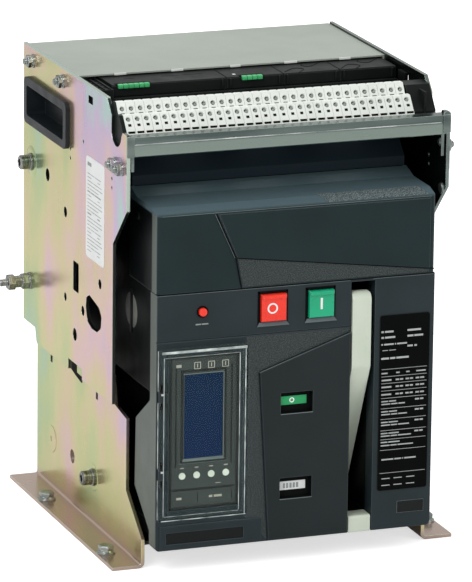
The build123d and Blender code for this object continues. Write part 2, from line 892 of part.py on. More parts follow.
# Interlock stud: threaded rod on the left plate with a washer, a sleeve and a nut at each end of the sleeve
with BuildPart() as interlock_stud:
    with BuildSketch(side_view(-inner_face)):
        with Locations((stud_y, stud_z)):
            Circle(stud_radius)
    extrude(amount=-(plate_gauge + stud_length))
    with BuildSketch(side_view(-half_chassis)):
        with Locations((stud_y, stud_z)):
            Circle(stud_washer_radius)
    extrude(amount=-stud_washer_height)
    sleeve_start = stud_washer_height + stud_nut_height
    with BuildSketch(side_view(-half_chassis - sleeve_start)):
        with Locations((stud_y, stud_z)):
            Circle(stud_sleeve_radius)
    extrude(amount=-stud_sleeve_length)
    for nut_start in (stud_washer_height, sleeve_start + stud_sleeve_length):
        with BuildSketch(side_view(-half_chassis - nut_start)):
            with Locations((stud_y, stud_z)):
                RegularPolygon(stud_nut_across / 2, 6, major_radius=False)
        extrude(amount=-stud_nut_height)
interlock_stud.part.label = "interlock_stud"
export_step(interlock_stud.part, "parts/interlock_stud.step")

# Places of the plate bolts: two at the top edge, two behind the nose
plate_bolt_places = [
    (244.0, chassis_height - 11.2),
    (163.5, chassis_height - 11.2),
    (29.4, plate_nose_top - 30.0),
    (13.2, plate_nose_top - 30.4),
]

# Plate bolts: hexagon heads near the top edge and behind the nose of both side plates
with BuildPart() as plate_bolts:
    with BuildSketch(side_view(-half_chassis)):
        with Locations(*plate_bolt_places):
            RegularPolygon(bolt_head_across / 2, 6, major_radius=False)
    extrude(amount=-bolt_head_height)
    mirror(about=Plane.YZ)
plate_bolts.part.label = "plate_bolts"
export_step(plate_bolts.part, "parts/plate_bolts.step")

# Breaker case: moulded main body, narrow between the feet and wide above them, with the handle slot
with BuildPart() as breaker_case:
    with BuildSketch(side_view(-half_case)):
        with BuildLine():
            Polyline(
                (front_rear, case_wide_from),
                (front_rear, front_seam),
                (front_back_y, front_seam),
                (front_back_y, case_top - case_bevel),
                (front_back_y + case_bevel, case_top),
                (case_back_y, case_top),
                (case_back_y, case_wide_from),
                (front_rear, case_wide_from),
            )
        make_face()
    extrude(amount=case_width)
    with BuildSketch(front_view(front_rear)):
        skid_reach = pan_inner - skid_clearance
        corner_rectangle(-half_narrow, case_bottom, case_narrow_width, case_wide_from - case_bottom)
        corner_rectangle(-skid_reach, case_bottom, 2 * skid_reach, skid_height)
    extrude(amount=-(case_back_y - front_rear))
    with BuildSketch(front_view(front_rear)):
        corner_rectangle(slot_left, slot_floor, slot_width, front_seam - slot_floor)
    extrude(amount=-slot_depth, mode=Mode.SUBTRACT)
    with BuildSketch(front_view(front_rear)):
        with Locations((off_center, button_center_z), (on_center, button_center_z)):
            Circle(button_stem_radius + stem_clearance)
    extrude(amount=-(button_stem_length + button_travel), mode=Mode.SUBTRACT)
    with BuildSketch(front_view(front_rear)):
        with Locations((reset_center, reset_height)):
            Circle(reset_radius + stem_clearance)
    extrude(amount=-reset_bore_depth, mode=Mode.SUBTRACT)
    with BuildSketch(side_view(slot_left - pin_seat)):
        with Locations((handle_pivot_y, handle_pivot_z)):
            Circle(handle_pin_radius)
    extrude(amount=slot_width + 2 * pin_seat, mode=Mode.SUBTRACT)
    for side in (-1, 1):
        with BuildSketch(side_view(side * half_case)):
            with Locations((side_disc_y, side_disc_z)):
                Circle(side_disc_radius)
        extrude(amount=-side * side_disc_depth, mode=Mode.SUBTRACT)
breaker_case.part.label = "breaker_case"
export_step(breaker_case.part, "parts/breaker_case.step")

# Lower front cover: frame with pockets for the controller and buttons, the handle slot and side cheeks
with BuildPart() as lower_front_cover:
    with BuildSketch(front_view(front_rear)):
        lower_seam = front_seam - seam_gap / 2
        corner_rectangle(-half_front, front_bottom, front_width, lower_seam - front_bottom)
    extrude(amount=front_depth)
    lower_corners = lower_front_cover.edges().filter_by(Axis.Y).group_by(Axis.Z)[0]
    fillet(lower_corners, radius=front_corner)
    for side in (-1, 1):
        with BuildSketch(side_view(side * half_front)):
            with BuildLine():
                Polyline(
                    (front_rear - front_corner, cheek_shoulder_z + 12.0),
                    (front_rear, cheek_shoulder_z),
                    (cheek_back_y - 2.0, cheek_upper_z),
                    (cheek_back_y, cheek_lower_z),
                    (front_rear - front_corner, front_bottom + front_corner + 7.0),
                    (front_rear - front_corner, cheek_shoulder_z + 12.0),
                )
            make_face()
        extrude(amount=-side * cheek_thickness)
    with BuildSketch(front_view(front_rear)):
        corner_rectangle(controller_left - pocket_clearance, controller_bottom - pocket_clearance,
                         controller_width + 2 * pocket_clearance, controller_height + 2 * pocket_clearance)
        with Locations((off_center, button_center_z), (on_center, button_center_z)):
            Rectangle(button_width + 2 * button_clearance, button_height + 2 * button_clearance)
        with Locations((reset_center, reset_height)):
            Circle(reset_radius + button_clearance)
        corner_rectangle(slot_left, front_bottom, slot_width, lower_seam - slot_bridge - front_bottom)
    extrude(amount=front_depth, mode=Mode.SUBTRACT)
    with BuildSketch(front_view(front_plane)):
        for window_z in (window_lower_z, window_upper_z):
            corner_rectangle(window_left, window_z, window_width, window_height)
    extrude(amount=-window_depth, mode=Mode.SUBTRACT)
    with BuildSketch(front_view(front_plane)):
        corner_rectangle(-half_front, ledge_line_z, half_front + slot_left, groove_width)
    extrude(amount=-groove_depth, mode=Mode.SUBTRACT)
    with BuildSketch(front_view(front_plane)):
        corner_rectangle(tag_left, tag_bottom, tag_width, tag_height)
    extrude(amount=tag_proud)
    for knuckle_z in lid_knuckles:
        with BuildSketch(top_view(knuckle_z - lid_knuckle_height / 2)):
            with Locations((lid_axis_x, lid_axis_y)):
                Circle(lid_barrel_radius)
            corner_rectangle(lid_axis_x - lid_pin_radius, lid_axis_y, 2 * lid_pin_radius, front_plane - lid_axis_y)
            with Locations((lid_axis_x, lid_axis_y)):
                Circle(lid_pin_radius, mode=Mode.SUBTRACT)
        extrude(amount=lid_knuckle_height)
lower_front_cover.part.label = "lower_front_cover"
export_step(lower_front_cover.part, "parts/lower_front_cover.step")

# Upper front cover: sloping hood with a diagonal groove and a raised smooth field
with BuildPart() as upper_front_cover:
    upper_seam = front_seam + seam_gap / 2
    with BuildSketch(side_view(-half_front)):
        with BuildLine():
            Polyline(
                (front_plane, upper_seam),
                (front_plane, front_top),
                (front_rear, front_slope_top),
                (front_step_y, front_step_z),
                (front_back_y, front_back_z),
                (front_back_y, upper_seam),
                (front_plane, upper_seam),
            )
        make_face()
    extrude(amount=front_width)
    hood_corners = upper_front_cover.edges().filter_by(Axis.Z).group_by(Axis.Y)[0]
    fillet(hood_corners, radius=front_corner)
    with BuildSketch(front_view(front_plane)):
        with BuildLine():
            Polyline(
                (hood_groove_top_x + 2.7, front_top - 1.5),
                (half_front - front_corner - 1.0, front_top - 1.5),
                (half_front - front_corner - 1.0, upper_seam + 4.0),
                (hood_groove_knee_x + 1.4, hood_groove_knee_z),
                (hood_groove_top_x + 2.7, front_top - 1.5),
            )
        make_face()
    extrude(amount=raised_panel_proud)
    with BuildSketch(front_view(front_plane)):
        with BuildLine():
            Polyline(
                (hood_groove_top_x, front_top),
                (hood_groove_top_x + groove_width, front_top),
                (hood_groove_knee_x + groove_width, hood_groove_knee_z),
                (hood_groove_low_x + groove_width, upper_seam),
                (hood_groove_low_x, upper_seam),
                (hood_groove_knee_x, hood_groove_knee_z),
                (hood_groove_top_x, front_top),
            )
        make_face()
    extrude(amount=-groove_depth, mode=Mode.SUBTRACT)
upper_front_cover.part.label = "upper_front_cover"
export_step(upper_front_cover.part, "parts/upper_front_cover.step")

# Middle panel: raised field with a diagonal top edge and two indicator windows
with BuildPart() as middle_panel:
    with BuildSketch(front_view(front_plane)):
        with BuildLine():
            Polyline(
                (panel_left_top, panel_low_z),
                (panel_right, panel_high_z),
                (panel_right, front_bottom + 0.6),
                (panel_left_bottom, front_bottom + 0.6),
                (panel_left_top, panel_low_z),
            )
        make_face()
        for window_z in (window_lower_z, window_upper_z):
            corner_rectangle(window_left, window_z, window_width, window_height, mode=Mode.SUBTRACT)
    extrude(amount=panel_proud)
    chamfer(middle_panel.faces().sort_by(Axis.Y)[0].outer_wire().edges(), length=0.6)
middle_panel.part.label = "middle_panel"
export_step(middle_panel.part, "parts/middle_panel.step")

# Indicator flags on the floors of the two windows
with BuildPart() as indicator_flags:
    with BuildSketch(front_view(front_plane + window_depth)):
        for window_z in (window_lower_z, window_upper_z):
            with Locations((window_left + 0.4 + flag_width / 2, window_z + window_height / 2 + flag_lift)):
                Rectangle(flag_width, flag_height)
    extrude(amount=flag_thickness)
indicator_flags.part.label = "indicator_flags"
export_step(indicator_flags.part, "parts/indicator_flags.step")

# Nameplate: thin plate on the right of the lower cover
with BuildPart() as nameplate:
    with BuildSketch(front_view(front_plane)):
        with Locations((nameplate_left + nameplate_width / 2, nameplate_bottom + nameplate_height / 2)):
            RectangleRounded(nameplate_width, nameplate_height, 2.0)
    extrude(amount=nameplate_thickness)
nameplate.part.label = "nameplate"
export_step(nameplate.part, "parts/nameplate.step")

# Lower left panel: thin frame below the controller
with BuildPart() as lower_left_panel:
    with BuildSketch(front_view(front_plane)):
        panel_x = -half_front + front_corner
        corner_rectangle(panel_x, front_bottom + 0.6, lower_panel_width - front_corner, lower_panel_height)
        corner_rectangle(panel_x + lower_panel_recess_inset, front_bottom + lower_panel_recess_rise,
                         lower_panel_recess_width, lower_panel_recess_height, mode=Mode.SUBTRACT)
    extrude(amount=lower_panel_proud)
lower_left_panel.part.label = "lower_left_panel"
export_step(lower_left_panel.part, "parts/lower_left_panel.step")

# Controller unit: flat box in its pocket with a display recess and four key holes
controller_face = front_plane + controller_recess
key_places = [(key_first + index * key_pitch, key_height) for index in range(4)]
with BuildPart() as controller_unit:
    with BuildSketch(front_view(front_rear)):
        corner_rectangle(controller_left, controller_bottom, controller_width, controller_height)
    extrude(amount=front_rear - controller_face)
    with BuildSketch(front_view(controller_face)):
        corner_rectangle(display_left, display_bottom, display_width, display_height)
    extrude(amount=-display_depth, mode=Mode.SUBTRACT)
    with BuildSketch(front_view(controller_face)):
        with Locations(*key_places):
            Circle(key_radius + stem_clearance)
    extrude(amount=-key_depth, mode=Mode.SUBTRACT)
controller_unit.part.label = "controller_unit"
export_step(controller_unit.part, "parts/controller_unit.step")

with BuildPart() as controller_display:
    with BuildSketch(front_view(controller_face + display_depth)):
        corner_rectangle(display_left, display_bottom, display_width, display_height)
    extrude(amount=display_depth - 0.3)
controller_display.part.label = "controller_display"
export_step(controller_display.part, "parts/controller_display.step")

with BuildPart() as controller_keys:
    with BuildSketch(front_view(controller_face + key_depth)):
        with Locations(*key_places):
            Circle(key_radius)
    extrude(amount=key_depth + key_proud)
controller_keys.part.label = "controller_keys"
export_step(controller_keys.part, "parts/controller_keys.step")

# Controller cover: clear shallow lid with a hinge barrel along its left edge and a latch tab on its right
with BuildPart() as controller_cover:
    with BuildSketch(front_view(lid_back)):
        corner_rectangle(lid_axis_x, lid_bottom, lid_width - lid_barrel_radius, lid_height)
    extrude(amount=lid_depth)
    with BuildSketch(front_view(lid_back)):
        corner_rectangle(lid_axis_x + lid_barrel_radius + lid_wall, lid_bottom + lid_wall,
                         lid_width - 2 * lid_barrel_radius - 2 * lid_wall, lid_height - 2 * lid_wall)
    extrude(amount=lid_depth - lid_wall, mode=Mode.SUBTRACT)
    with BuildSketch(top_view(lid_bottom)):
        with Locations((lid_axis_x, lid_axis_y)):
            Circle(lid_barrel_radius)
    extrude(amount=lid_height)
    with BuildSketch(top_view(lid_bottom)):
        corner_rectangle(lid_left, lid_back - lid_depth, lid_barrel_radius, lid_depth - 2 * lid_barrel_radius)
    extrude(amount=lid_height, mode=Mode.SUBTRACT)
    knuckle_slot = lid_knuckle_height + 2 * lid_knuckle_gap
    for knuckle_z in lid_knuckles:
        with BuildSketch(top_view(knuckle_z - knuckle_slot / 2)):
            corner_rectangle(lid_left - 1.0, lid_back - lid_depth, 2 * lid_barrel_radius + 2.0, lid_depth + 1.0)
        extrude(amount=knuckle_slot, mode=Mode.SUBTRACT)
        with BuildSketch(top_view(knuckle_z - lid_pin_length / 2 - 1.0)):
            with Locations((lid_axis_x, lid_axis_y)):
                Circle(lid_pin_radius + stem_clearance)
        extrude(amount=lid_pin_length + 2.0, mode=Mode.SUBTRACT)
    with BuildSketch(front_view(lid_back)):
        corner_rectangle(lid_left + lid_width - 0.5, latch_bottom, latch_reach + 0.5, latch_height)
    extrude(amount=4.0)
controller_cover.part.label = "controller_cover"
export_step(controller_cover.part, "parts/controller_cover.step")

# Handle rest: pale block that closes the foot of the handle slot
with BuildPart() as handle_rest:
    with BuildSketch(front_view(front_rear)):
        corner_rectangle(slot_left + 1.0, front_bottom, slot_width - 2.0, handle_rest_height)
    extrude(amount=front_depth)
    fillet(handle_rest.edges().filter_by(Axis.X).group_by(Axis.Y)[0].sort_by(Axis.Z)[-1], radius=2.0)
handle_rest.part.label = "handle_rest"
export_step(handle_rest.part, "parts/handle_rest.step")

# Charging handle: bent lever with a rounded grip above and an eye on the pivot pin
with BuildPart() as charging_handle:
    with BuildSketch(side_view(handle_left)) as lever_profile:
        knee_y = front_plane - handle_proud + handle_section / 2
        with Locations((handle_pivot_y, handle_pivot_z)):
            Circle(handle_eye_radius)
        with Locations((knee_y, handle_knee)):
            Circle(handle_section / 2)
        make_hull()
        with Locations((knee_y, (handle_knee + handle_top) / 2)):
            SlotCenterToCenter(handle_top - handle_knee - handle_section, handle_section, rotation=90)
        corner_rectangle(knee_y - handle_section / 2, handle_knee, handle_section,
                         handle_top - handle_knee - handle_section)
        with Locations((handle_pivot_y, handle_pivot_z)):
            Circle(handle_pin_radius + handle_pin_clearance, mode=Mode.SUBTRACT)
    extrude(amount=handle_width)
    lever_bottom = handle_pivot_z - 2 * handle_eye_radius
    with BuildSketch(front_view(handle_pivot_y)):
        with Locations((handle_left + handle_width / 2, (lever_bottom + handle_top) / 2)):
            RectangleRounded(handle_width, handle_top - lever_bottom, handle_corner)
    extrude(amount=handle_pivot_y + front_reach + 2 * handle_section, both=True, mode=Mode.INTERSECT)
charging_handle.part.label = "charging_handle"
export_step(charging_handle.part, "parts/charging_handle.step")

# Hinge pins: the handle's pivot and the two pins of the controller cover
with BuildPart() as hinge_pins:
    with BuildSketch(side_view(slot_left - pin_seat)):
        with Locations((handle_pivot_y, handle_pivot_z)):
            Circle(handle_pin_radius)
    extrude(amount=slot_width + 2 * pin_seat)
    for knuckle_z in lid_knuckles:
        with BuildSketch(top_view(knuckle_z - lid_pin_length / 2)):
            with Locations((lid_axis_x, lid_axis_y)):
                Circle(lid_pin_radius)
        extrude(amount=lid_pin_length)
hinge_pins.part.label = "hinge_pins"
export_step(hinge_pins.part, "parts/hinge_pins.step")


# Push button: rectangular cap with a rounded ridge along its top and a guide stem behind
def push_button(center_x):
    with BuildPart() as button:
        with BuildSketch(front_view(button_back)):
            with Locations((center_x, button_center_z)):
                Rectangle(button_width, button_height)
        extrude(amount=button_depth)
        fillet(button.edges().group_by(Axis.Y)[0], radius=0.8)
        ridge_z = button_center_z + button_height / 2 - button_ridge - 1.0
        with BuildSketch(side_view(center_x - button_width / 2 + 1.0)):
            with Locations((button_front, ridge_z)):
                Circle(button_ridge)
        extrude(amount=button_width - 2.0)
        with BuildSketch(front_view(button_back)):
            with Locations((center_x, button_center_z)):
                Circle(button_stem_radius)
        extrude(amount=-button_stem_length)
    return button.part


off_button = push_button(off_center)
off_button.label = "off_button"
export_step(off_button, "parts/off_button.step")
on_button = push_button(on_center)
on_button.label = "on_button"
export_step(on_button, "parts/on_button.step")

# Reset button: small round cap that slides in its own bore
with BuildPart() as reset_button:
    with BuildSketch(front_view(front_plane - reset_proud)):
        with Locations((reset_center, reset_height)):
            Circle(reset_radius)
    extrude(amount=-(reset_proud + front_depth + reset_bore_depth - reset_travel - 1.0))
    fillet(reset_button.edges().group_by(Axis.Y)[0], radius=1.0)
reset_button.part.label = "reset_button"
export_step(reset_button.part, "parts/reset_button.step")


# Row of contact jaws on the breaker's back, each with two fingers around a terminal blade
def jaw_row(height):
    finger_inner = terminal_thickness / 2 + jaw_gap
    finger_outer = finger_inner + jaw_thickness
    with BuildPart() as row:
        for x in poles:
            with BuildSketch(side_view(x - jaw_width / 2)):
                corner_rectangle(case_back_y, height - finger_outer, jaw_root + jaw_reach, 2 * finger_outer)
                corner_rectangle(case_back_y + jaw_root, height - finger_inner, jaw_reach, 2 * finger_inner,
                                 mode=Mode.SUBTRACT)
            extrude(amount=jaw_width)
    return row.part


lower_jaws = jaw_row(terminal_lower_z)
lower_jaws.label = "lower_jaws"
export_step(lower_jaws, "parts/lower_jaws.step")
upper_jaws = jaw_row(terminal_upper_z)
upper_jaws.label = "upper_jaws"
export_step(upper_jaws, "parts/upper_jaws.step")
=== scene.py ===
import math

import bmesh
import bpy
from mathutils import Matrix, Vector


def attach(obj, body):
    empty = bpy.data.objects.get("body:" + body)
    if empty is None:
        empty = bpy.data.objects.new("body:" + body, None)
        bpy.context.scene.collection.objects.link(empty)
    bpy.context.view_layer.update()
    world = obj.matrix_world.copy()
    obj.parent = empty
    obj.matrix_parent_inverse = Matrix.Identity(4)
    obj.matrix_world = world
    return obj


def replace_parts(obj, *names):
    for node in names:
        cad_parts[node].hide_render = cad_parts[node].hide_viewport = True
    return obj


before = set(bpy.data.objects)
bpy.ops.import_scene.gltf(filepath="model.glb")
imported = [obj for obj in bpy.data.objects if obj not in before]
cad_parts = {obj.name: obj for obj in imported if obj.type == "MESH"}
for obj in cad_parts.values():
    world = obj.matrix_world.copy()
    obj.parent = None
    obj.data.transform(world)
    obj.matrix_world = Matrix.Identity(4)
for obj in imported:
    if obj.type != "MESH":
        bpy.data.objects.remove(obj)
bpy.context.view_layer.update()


# Camera: a long lens left of the breaker and a little above it, which keeps the verticals upright.
# It leans by less than a degree.
def at(x, depth, z):
    """A place in metres from millimetres right of centre, behind the side plates' front edge, above the ground."""
    return Vector((x, depth - 138.5, z)) / 1000.0


swing, rise, lean = math.radians(-20.389), math.radians(15.094), math.radians(0.699)
sight = Vector((math.sin(swing) * math.cos(rise), -math.cos(swing) * math.cos(rise), math.sin(rise)))
level = (-sight).cross(Vector((0.0, 0.0, 1.0))).normalized()
upright = level.cross(-sight)
camera_x = level * math.cos(lean) + upright * math.sin(lean)
camera_y = upright * math.cos(lean) - level * math.sin(lean)
camera = bpy.data.objects.new("camera", bpy.data.cameras.new("camera"))
camera.matrix_world = Matrix.Translation(at(-45.7, 0.0, 230.84) + 4.373 * sight) @ Matrix(
    (camera_x, camera_y, sight)).transposed().to_4x4()
camera.data.sensor_width = 36.0
camera.data.lens = 36.0 * 5340.0 / 582.0
camera.data.clip_end = 60.0
bpy.context.collection.objects.link(camera)
bpy.context.scene.camera = camera
bpy.context.scene.view_settings.view_transform = "Standard"


# Studio: a white floor that runs back out of view, a soft lamp overhead on the left, a weaker one on the
# right and one behind, in a pale room.
def tone(code):
    """Linear colour of a hexadecimal screen colour."""
    parts = [int(code[i:i + 2], 16) / 255.0 for i in (1, 3, 5)]
    return tuple(p / 12.92 if p <= 0.04045 else ((p + 0.055) / 1.055) ** 2.4 for p in parts) + (1.0,)


floor_mesh = bmesh.new()
bmesh.ops.create_grid(floor_mesh, x_segments=1, y_segments=1, size=14.0)
floor = bpy.data.objects.new("floor", bpy.data.meshes.new("floor"))
floor_mesh.to_mesh(floor.data)
floor_mesh.free()
bpy.context.collection.objects.link(floor)
floor_white = bpy.data.materials.new("floor_white")
floor_white.use_nodes = True
floor_nodes, floor_links = floor_white.node_tree.nodes, floor_white.node_tree.links
floor_shader = floor_nodes["Principled BSDF"]
floor_shader.inputs["Base Color"].default_value = (0.86, 0.86, 0.86, 1.0)
floor_shader.inputs["Roughness"].default_value = 0.85
floor_shader.inputs["Specular IOR Level"].default_value = 0.1
floor_shader.inputs["Emission Color"].default_value = (1.0, 1.0, 1.0, 1.0)
floor_eye = floor_nodes.new("ShaderNodeLightPath")
floor_lift = floor_nodes.new("ShaderNodeMath")
floor_lift.operation = "MULTIPLY"
floor_lift.inputs[1].default_value = 0.66
floor_links.new(floor_eye.outputs["Is Camera Ray"], floor_lift.inputs[0])
floor_links.new(floor_lift.outputs[0], floor_shader.inputs["Emission Strength"])
floor.data.materials.append(floor_white)

room = bpy.data.worlds.new("room")
bpy.context.scene.world = room
room.use_nodes = True
room_nodes, room_links = room.node_tree.nodes, room.node_tree.links
room_eye = room_nodes.new("ShaderNodeLightPath")
room_seen = room_nodes.new("ShaderNodeMath")
room_seen.operation = "MAXIMUM"
room_links.new(room_eye.outputs["Is Camera Ray"], room_seen.inputs[0])
room_links.new(room_eye.outputs["Is Transmission Ray"], room_seen.inputs[1])
room_level = room_nodes.new("ShaderNodeMapRange")
room_level.inputs["To Min"].default_value = 0.62
room_level.inputs["To Max"].default_value = 1.0
room_links.new(room_seen.outputs[0], room_level.inputs["Value"])
room_nodes["Background"].inputs["Color"].default_value = (1.0, 1.0, 1.0, 1.0)
room_links.new(room_level.outputs["Result"], room_nodes["Background"].inputs["Strength"])

for lamp_name, place, aim, size, power in (
        ("key_lamp", (-1.9, -1.5, 2.3), (0.0, 0.0, 0.2), 1.6, 34.0),
        ("fill_lamp", (2.3, -2.2, 1.5), (0.0, 0.0, 0.2), 2.0, 15.0),
        ("top_lamp", (0.2, 1.1, 2.6), (0.0, 0.0, 0.3), 1.6, 20.0)):
    lamp = bpy.data.objects.new(lamp_name, bpy.data.lights.new(lamp_name, "AREA"))
    lamp.data.size = size
    lamp.data.energy = power
    lamp.location = place
    lamp.rotation_euler = (Vector(aim) - Vector(place)).to_track_quat("-Z", "Y").to_euler()
    bpy.context.collection.objects.link(lamp)


# Side plates and feet: 3 mm sheet steel, punched, folded and passivated, so the zinc shows soft clouds of straw, pale
# green and pink, with a pale painted highlight along every cut edge. The plates' inner faces are painted dark grey as
# shade.
def catch_group():
    """Light that the rounded rim of a sheet or moulding catches: a mask along edges, and the rim's normal."""
    group = bpy.data.node_groups.new("rim_light", "ShaderNodeTree")
    group.interface.new_socket("Radius", in_out="INPUT", socket_type="NodeSocketFloat").default_value = 0.001
    group.interface.new_socket("Mask", in_out="OUTPUT", socket_type="NodeSocketFloat")
    group.interface.new_socket("Normal", in_out="OUTPUT", socket_type="NodeSocketVector")
    nodes, links = group.nodes, group.links
    entry, leave = nodes.new("NodeGroupInput"), nodes.new("NodeGroupOutput")
    rounded, surface = nodes.new("ShaderNodeBevel"), nodes.new("ShaderNodeNewGeometry")
    rounded.samples = 6
    links.new(entry.outputs["Radius"], rounded.inputs["Radius"])
    turn = nodes.new("ShaderNodeVectorMath")
    turn.operation = "DOT_PRODUCT"
    links.new(rounded.outputs["Normal"], turn.inputs[0])
    links.new(surface.outputs["Normal"], turn.inputs[1])
    spread = nodes.new("ShaderNodeMapRange")
    spread.inputs["From Min"].default_value = 0.995
    spread.inputs["From Max"].default_value = 0.80
    links.new(turn.outputs["Value"], spread.inputs["Value"])
    links.new(spread.outputs["Result"], leave.inputs["Mask"])
    links.new(rounded.outputs["Normal"], leave.inputs["Normal"])
    return group


def cloud_group():
    """Broad soft patches, drawn out along one axis, as a value from 0 to 1."""
    group = bpy.data.node_groups.new("soft_patches", "ShaderNodeTree")
    group.interface.new_socket("Scale", in_out="INPUT", socket_type="NodeSocketFloat").default_value = 8.0
    group.interface.new_socket("Stretch", in_out="INPUT", socket_type="NodeSocketVector").default_value = (1, 1, 1)
    group.interface.new_socket("Detail", in_out="INPUT", socket_type="NodeSocketFloat").default_value = 2.0
    group.interface.new_socket("Value", in_out="OUTPUT", socket_type="NodeSocketFloat")
    nodes, links = group.nodes, group.links
    entry, leave = nodes.new("NodeGroupInput"), nodes.new("NodeGroupOutput")
    place, drawn = nodes.new("ShaderNodeTexCoord"), nodes.new("ShaderNodeVectorMath")
    drawn.operation = "MULTIPLY"
    links.new(place.outputs["Object"], drawn.inputs[0])
    links.new(entry.outputs["Stretch"], drawn.inputs[1])
    patches, level = nodes.new("ShaderNodeTexNoise"), nodes.new("ShaderNodeMapRange")
    level.inputs["From Min"].default_value = 0.30
    level.inputs["From Max"].default_value = 0.70
    links.new(drawn.outputs[0], patches.inputs["Vector"])
    links.new(entry.outputs["Scale"], patches.inputs["Scale"])
    links.new(entry.outputs["Detail"], patches.inputs["Detail"])
    links.new(patches.outputs["Fac"], level.inputs["Value"])
    links.new(level.outputs["Result"], leave.inputs["Value"])
    return group


rim_light = catch_group()
soft_patches = cloud_group()


def start_finish(name):
    """A new finish with its nodes, links and surface shader."""
    finish = bpy.data.materials.new(name)
    finish.use_nodes = True
    tree = finish.node_tree
    return finish, tree.nodes, tree.links, tree.nodes["Principled BSDF"]


def patches_in(nodes, scale, stretch=(1.0, 1.0, 1.0), detail=2.0):
    """Soft patches placed in a finish; gives back their value."""
    part = nodes.new("ShaderNodeGroup")
    part.node_tree = soft_patches
    part.inputs["Scale"].default_value = scale
    part.inputs["Stretch"].default_value = stretch
    part.inputs["Detail"].default_value = detail
    return part.outputs["Value"]


def rim_in(nodes, radius):
    """Rim light placed in a finish; gives back its mask and normal."""
    part = nodes.new("ShaderNodeGroup")
    part.node_tree = rim_light
    part.inputs["Radius"].default_value = radius / 1000.0
    return part.outputs["Mask"], part.outputs["Normal"]


def blend_colours(nodes, links, share, first, second):
    """Mixes two colours, each a hexadecimal colour or another node's output, by a share from 0 to 1."""
    mix = nodes.new("ShaderNodeMix")
    mix.data_type = "RGBA"
    links.new(share, mix.inputs[0])
    for colour, socket in ((first, mix.inputs[6]), (second, mix.inputs[7])):
        if isinstance(colour, str):
            socket.default_value = tone(colour)
        else:
            links.new(colour, socket)
    return mix.outputs[2]


def spread_value(nodes, links, value, low, high):
    """A value from 0 to 1 spread between low and high."""
    spread = nodes.new("ShaderNodeMapRange")
    spread.inputs["To Min"].default_value = low
    spread.inputs["To Max"].default_value = high
    links.new(value, spread.inputs["Value"])
    return spread.outputs["Result"]


def rough_surface(nodes, links, height, depth, normal):
    """Bump from a height over a normal; depth in millimetres."""
    bump = nodes.new("ShaderNodeBump")
    bump.inputs["Strength"].default_value = 1.0
    bump.inputs["Distance"].default_value = depth / 1000.0
    links.new(height, bump.inputs["Height"])
    links.new(normal, bump.inputs["Normal"])
    return bump.outputs["Normal"]


def dress(finish, *names):
    """Gives a finish to CAD nodes."""
    for name in names:
        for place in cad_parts[name].material_slots:
            place.link = "OBJECT"
            place.material = finish


def span_mask(nodes, links, axis, start, end):
    """Rises from 0 to 1 between two places along an axis; places in millimetres from the frame's centre."""
    place, parts = nodes.new("ShaderNodeTexCoord"), nodes.new("ShaderNodeSeparateXYZ")
    span = nodes.new("ShaderNodeMapRange")
    span.inputs["From Min"].default_value = start / 1000.0
    span.inputs["From Max"].default_value = end / 1000.0
    links.new(place.outputs["Object"], parts.inputs[0])
    links.new(parts.outputs[axis], span.inputs["Value"])
    return span.outputs["Result"]


def lay_masks(nodes, links, base, masks):
    """Lays a colour over a part of the base for each mask: axis, start and end in millimetres, colour."""
    for axis, start, end, colour in masks:
        base = blend_colours(nodes, links, span_mask(nodes, links, axis, start, end), base, colour)
    return base


def finish_surface(nodes, links, shader, base, rim, edge, sheen, grain=None, metallic=0.0, specular=0.5):
    """Lights the rim over the base; sheen is a value with its low and high roughness, grain a height with its
    depth."""
    mask, normal = rim_in(nodes, rim)
    links.new(blend_colours(nodes, links, mask, base, edge), shader.inputs["Base Color"])
    links.new(spread_value(nodes, links, *sheen), shader.inputs["Roughness"])
    if grain:
        normal = rough_surface(nodes, links, *grain, normal)
    links.new(normal, shader.inputs["Normal"])
    shader.inputs["Metallic"].default_value = metallic
    shader.inputs["Specular IOR Level"].default_value = specular


def passivated_zinc(name, masks=()):
    """Zinc clouds from pale green at the back to pink at the front; each mask lays a colour over a part of it."""
    finish, nodes, links, shader = start_finish(name)
    drift = nodes.new("ShaderNodeMix")
    drift.inputs[0].default_value = 0.36
    links.new(patches_in(nodes, 13.0, (1.0, 1.0, 0.5), 3.0), drift.inputs[2])
    heights = nodes.new("ShaderNodeMix")
    heights.inputs[0].default_value = 0.30
    links.new(span_mask(nodes, links, "Y", 150.0, -130.0), heights.inputs[2])
    links.new(span_mask(nodes, links, "Z", 60.0, 380.0), heights.inputs[3])
    links.new(heights.outputs[0], drift.inputs[3])
    tint = nodes.new("ShaderNodeValToRGB")
    stops = ((0.10, "#a6c6ab"), (0.26, "#b9c78b"), (0.40, "#cfcb90"), (0.52, "#d9c69b"), (0.66, "#dfbcba"),
             (0.82, "#cdb6d6"), (0.96, "#b0d6cb"))
    while len(tint.color_ramp.elements) < len(stops):
        tint.color_ramp.elements.new(0.5)
    for element, (place, colour) in zip(tint.color_ramp.elements, stops):
        element.position = place
        element.color = tone(colour)
    links.new(drift.outputs[0], tint.inputs["Fac"])
    finish_surface(nodes, links, shader, lay_masks(nodes, links, tint.outputs["Color"], masks), 0.7, "#dfece0",
                   (patches_in(nodes, 30.0, (1.0, 1.0, 0.3), 4.0), 0.18, 0.28),
                   (patches_in(nodes, 900.0, (1.0, 0.2, 1.0), 2.0), 0.010), 0.85)
    return finish


zinc = passivated_zinc("passivated_zinc")
# Painted light on the plates: painted shade darkens the inner faces, painted highlights pale the left plate's front and
# top edges, and a grey-green painted reflection lies on the right plate's edges.
dress(passivated_zinc("left_plate_zinc", (
    ("X", -140.8, -140.3, "#363e3c"), ("Y", -136.4, -137.6, "#bccdc0"), ("Z", 387.9, 388.4, "#b9cdbf"))),
      "left_side_plate")
dress(passivated_zinc("right_plate_zinc", (("X", 140.9, 140.4, "#7c8a86"), ("X", 138.6, 138.1, "#272d2c"))),
      "right_side_plate")
dress(passivated_zinc("foot_zinc", (("Z", 12.0, 3.0, "#c6b0a2"),)), "left_foot", "right_foot", "plate_spacers")


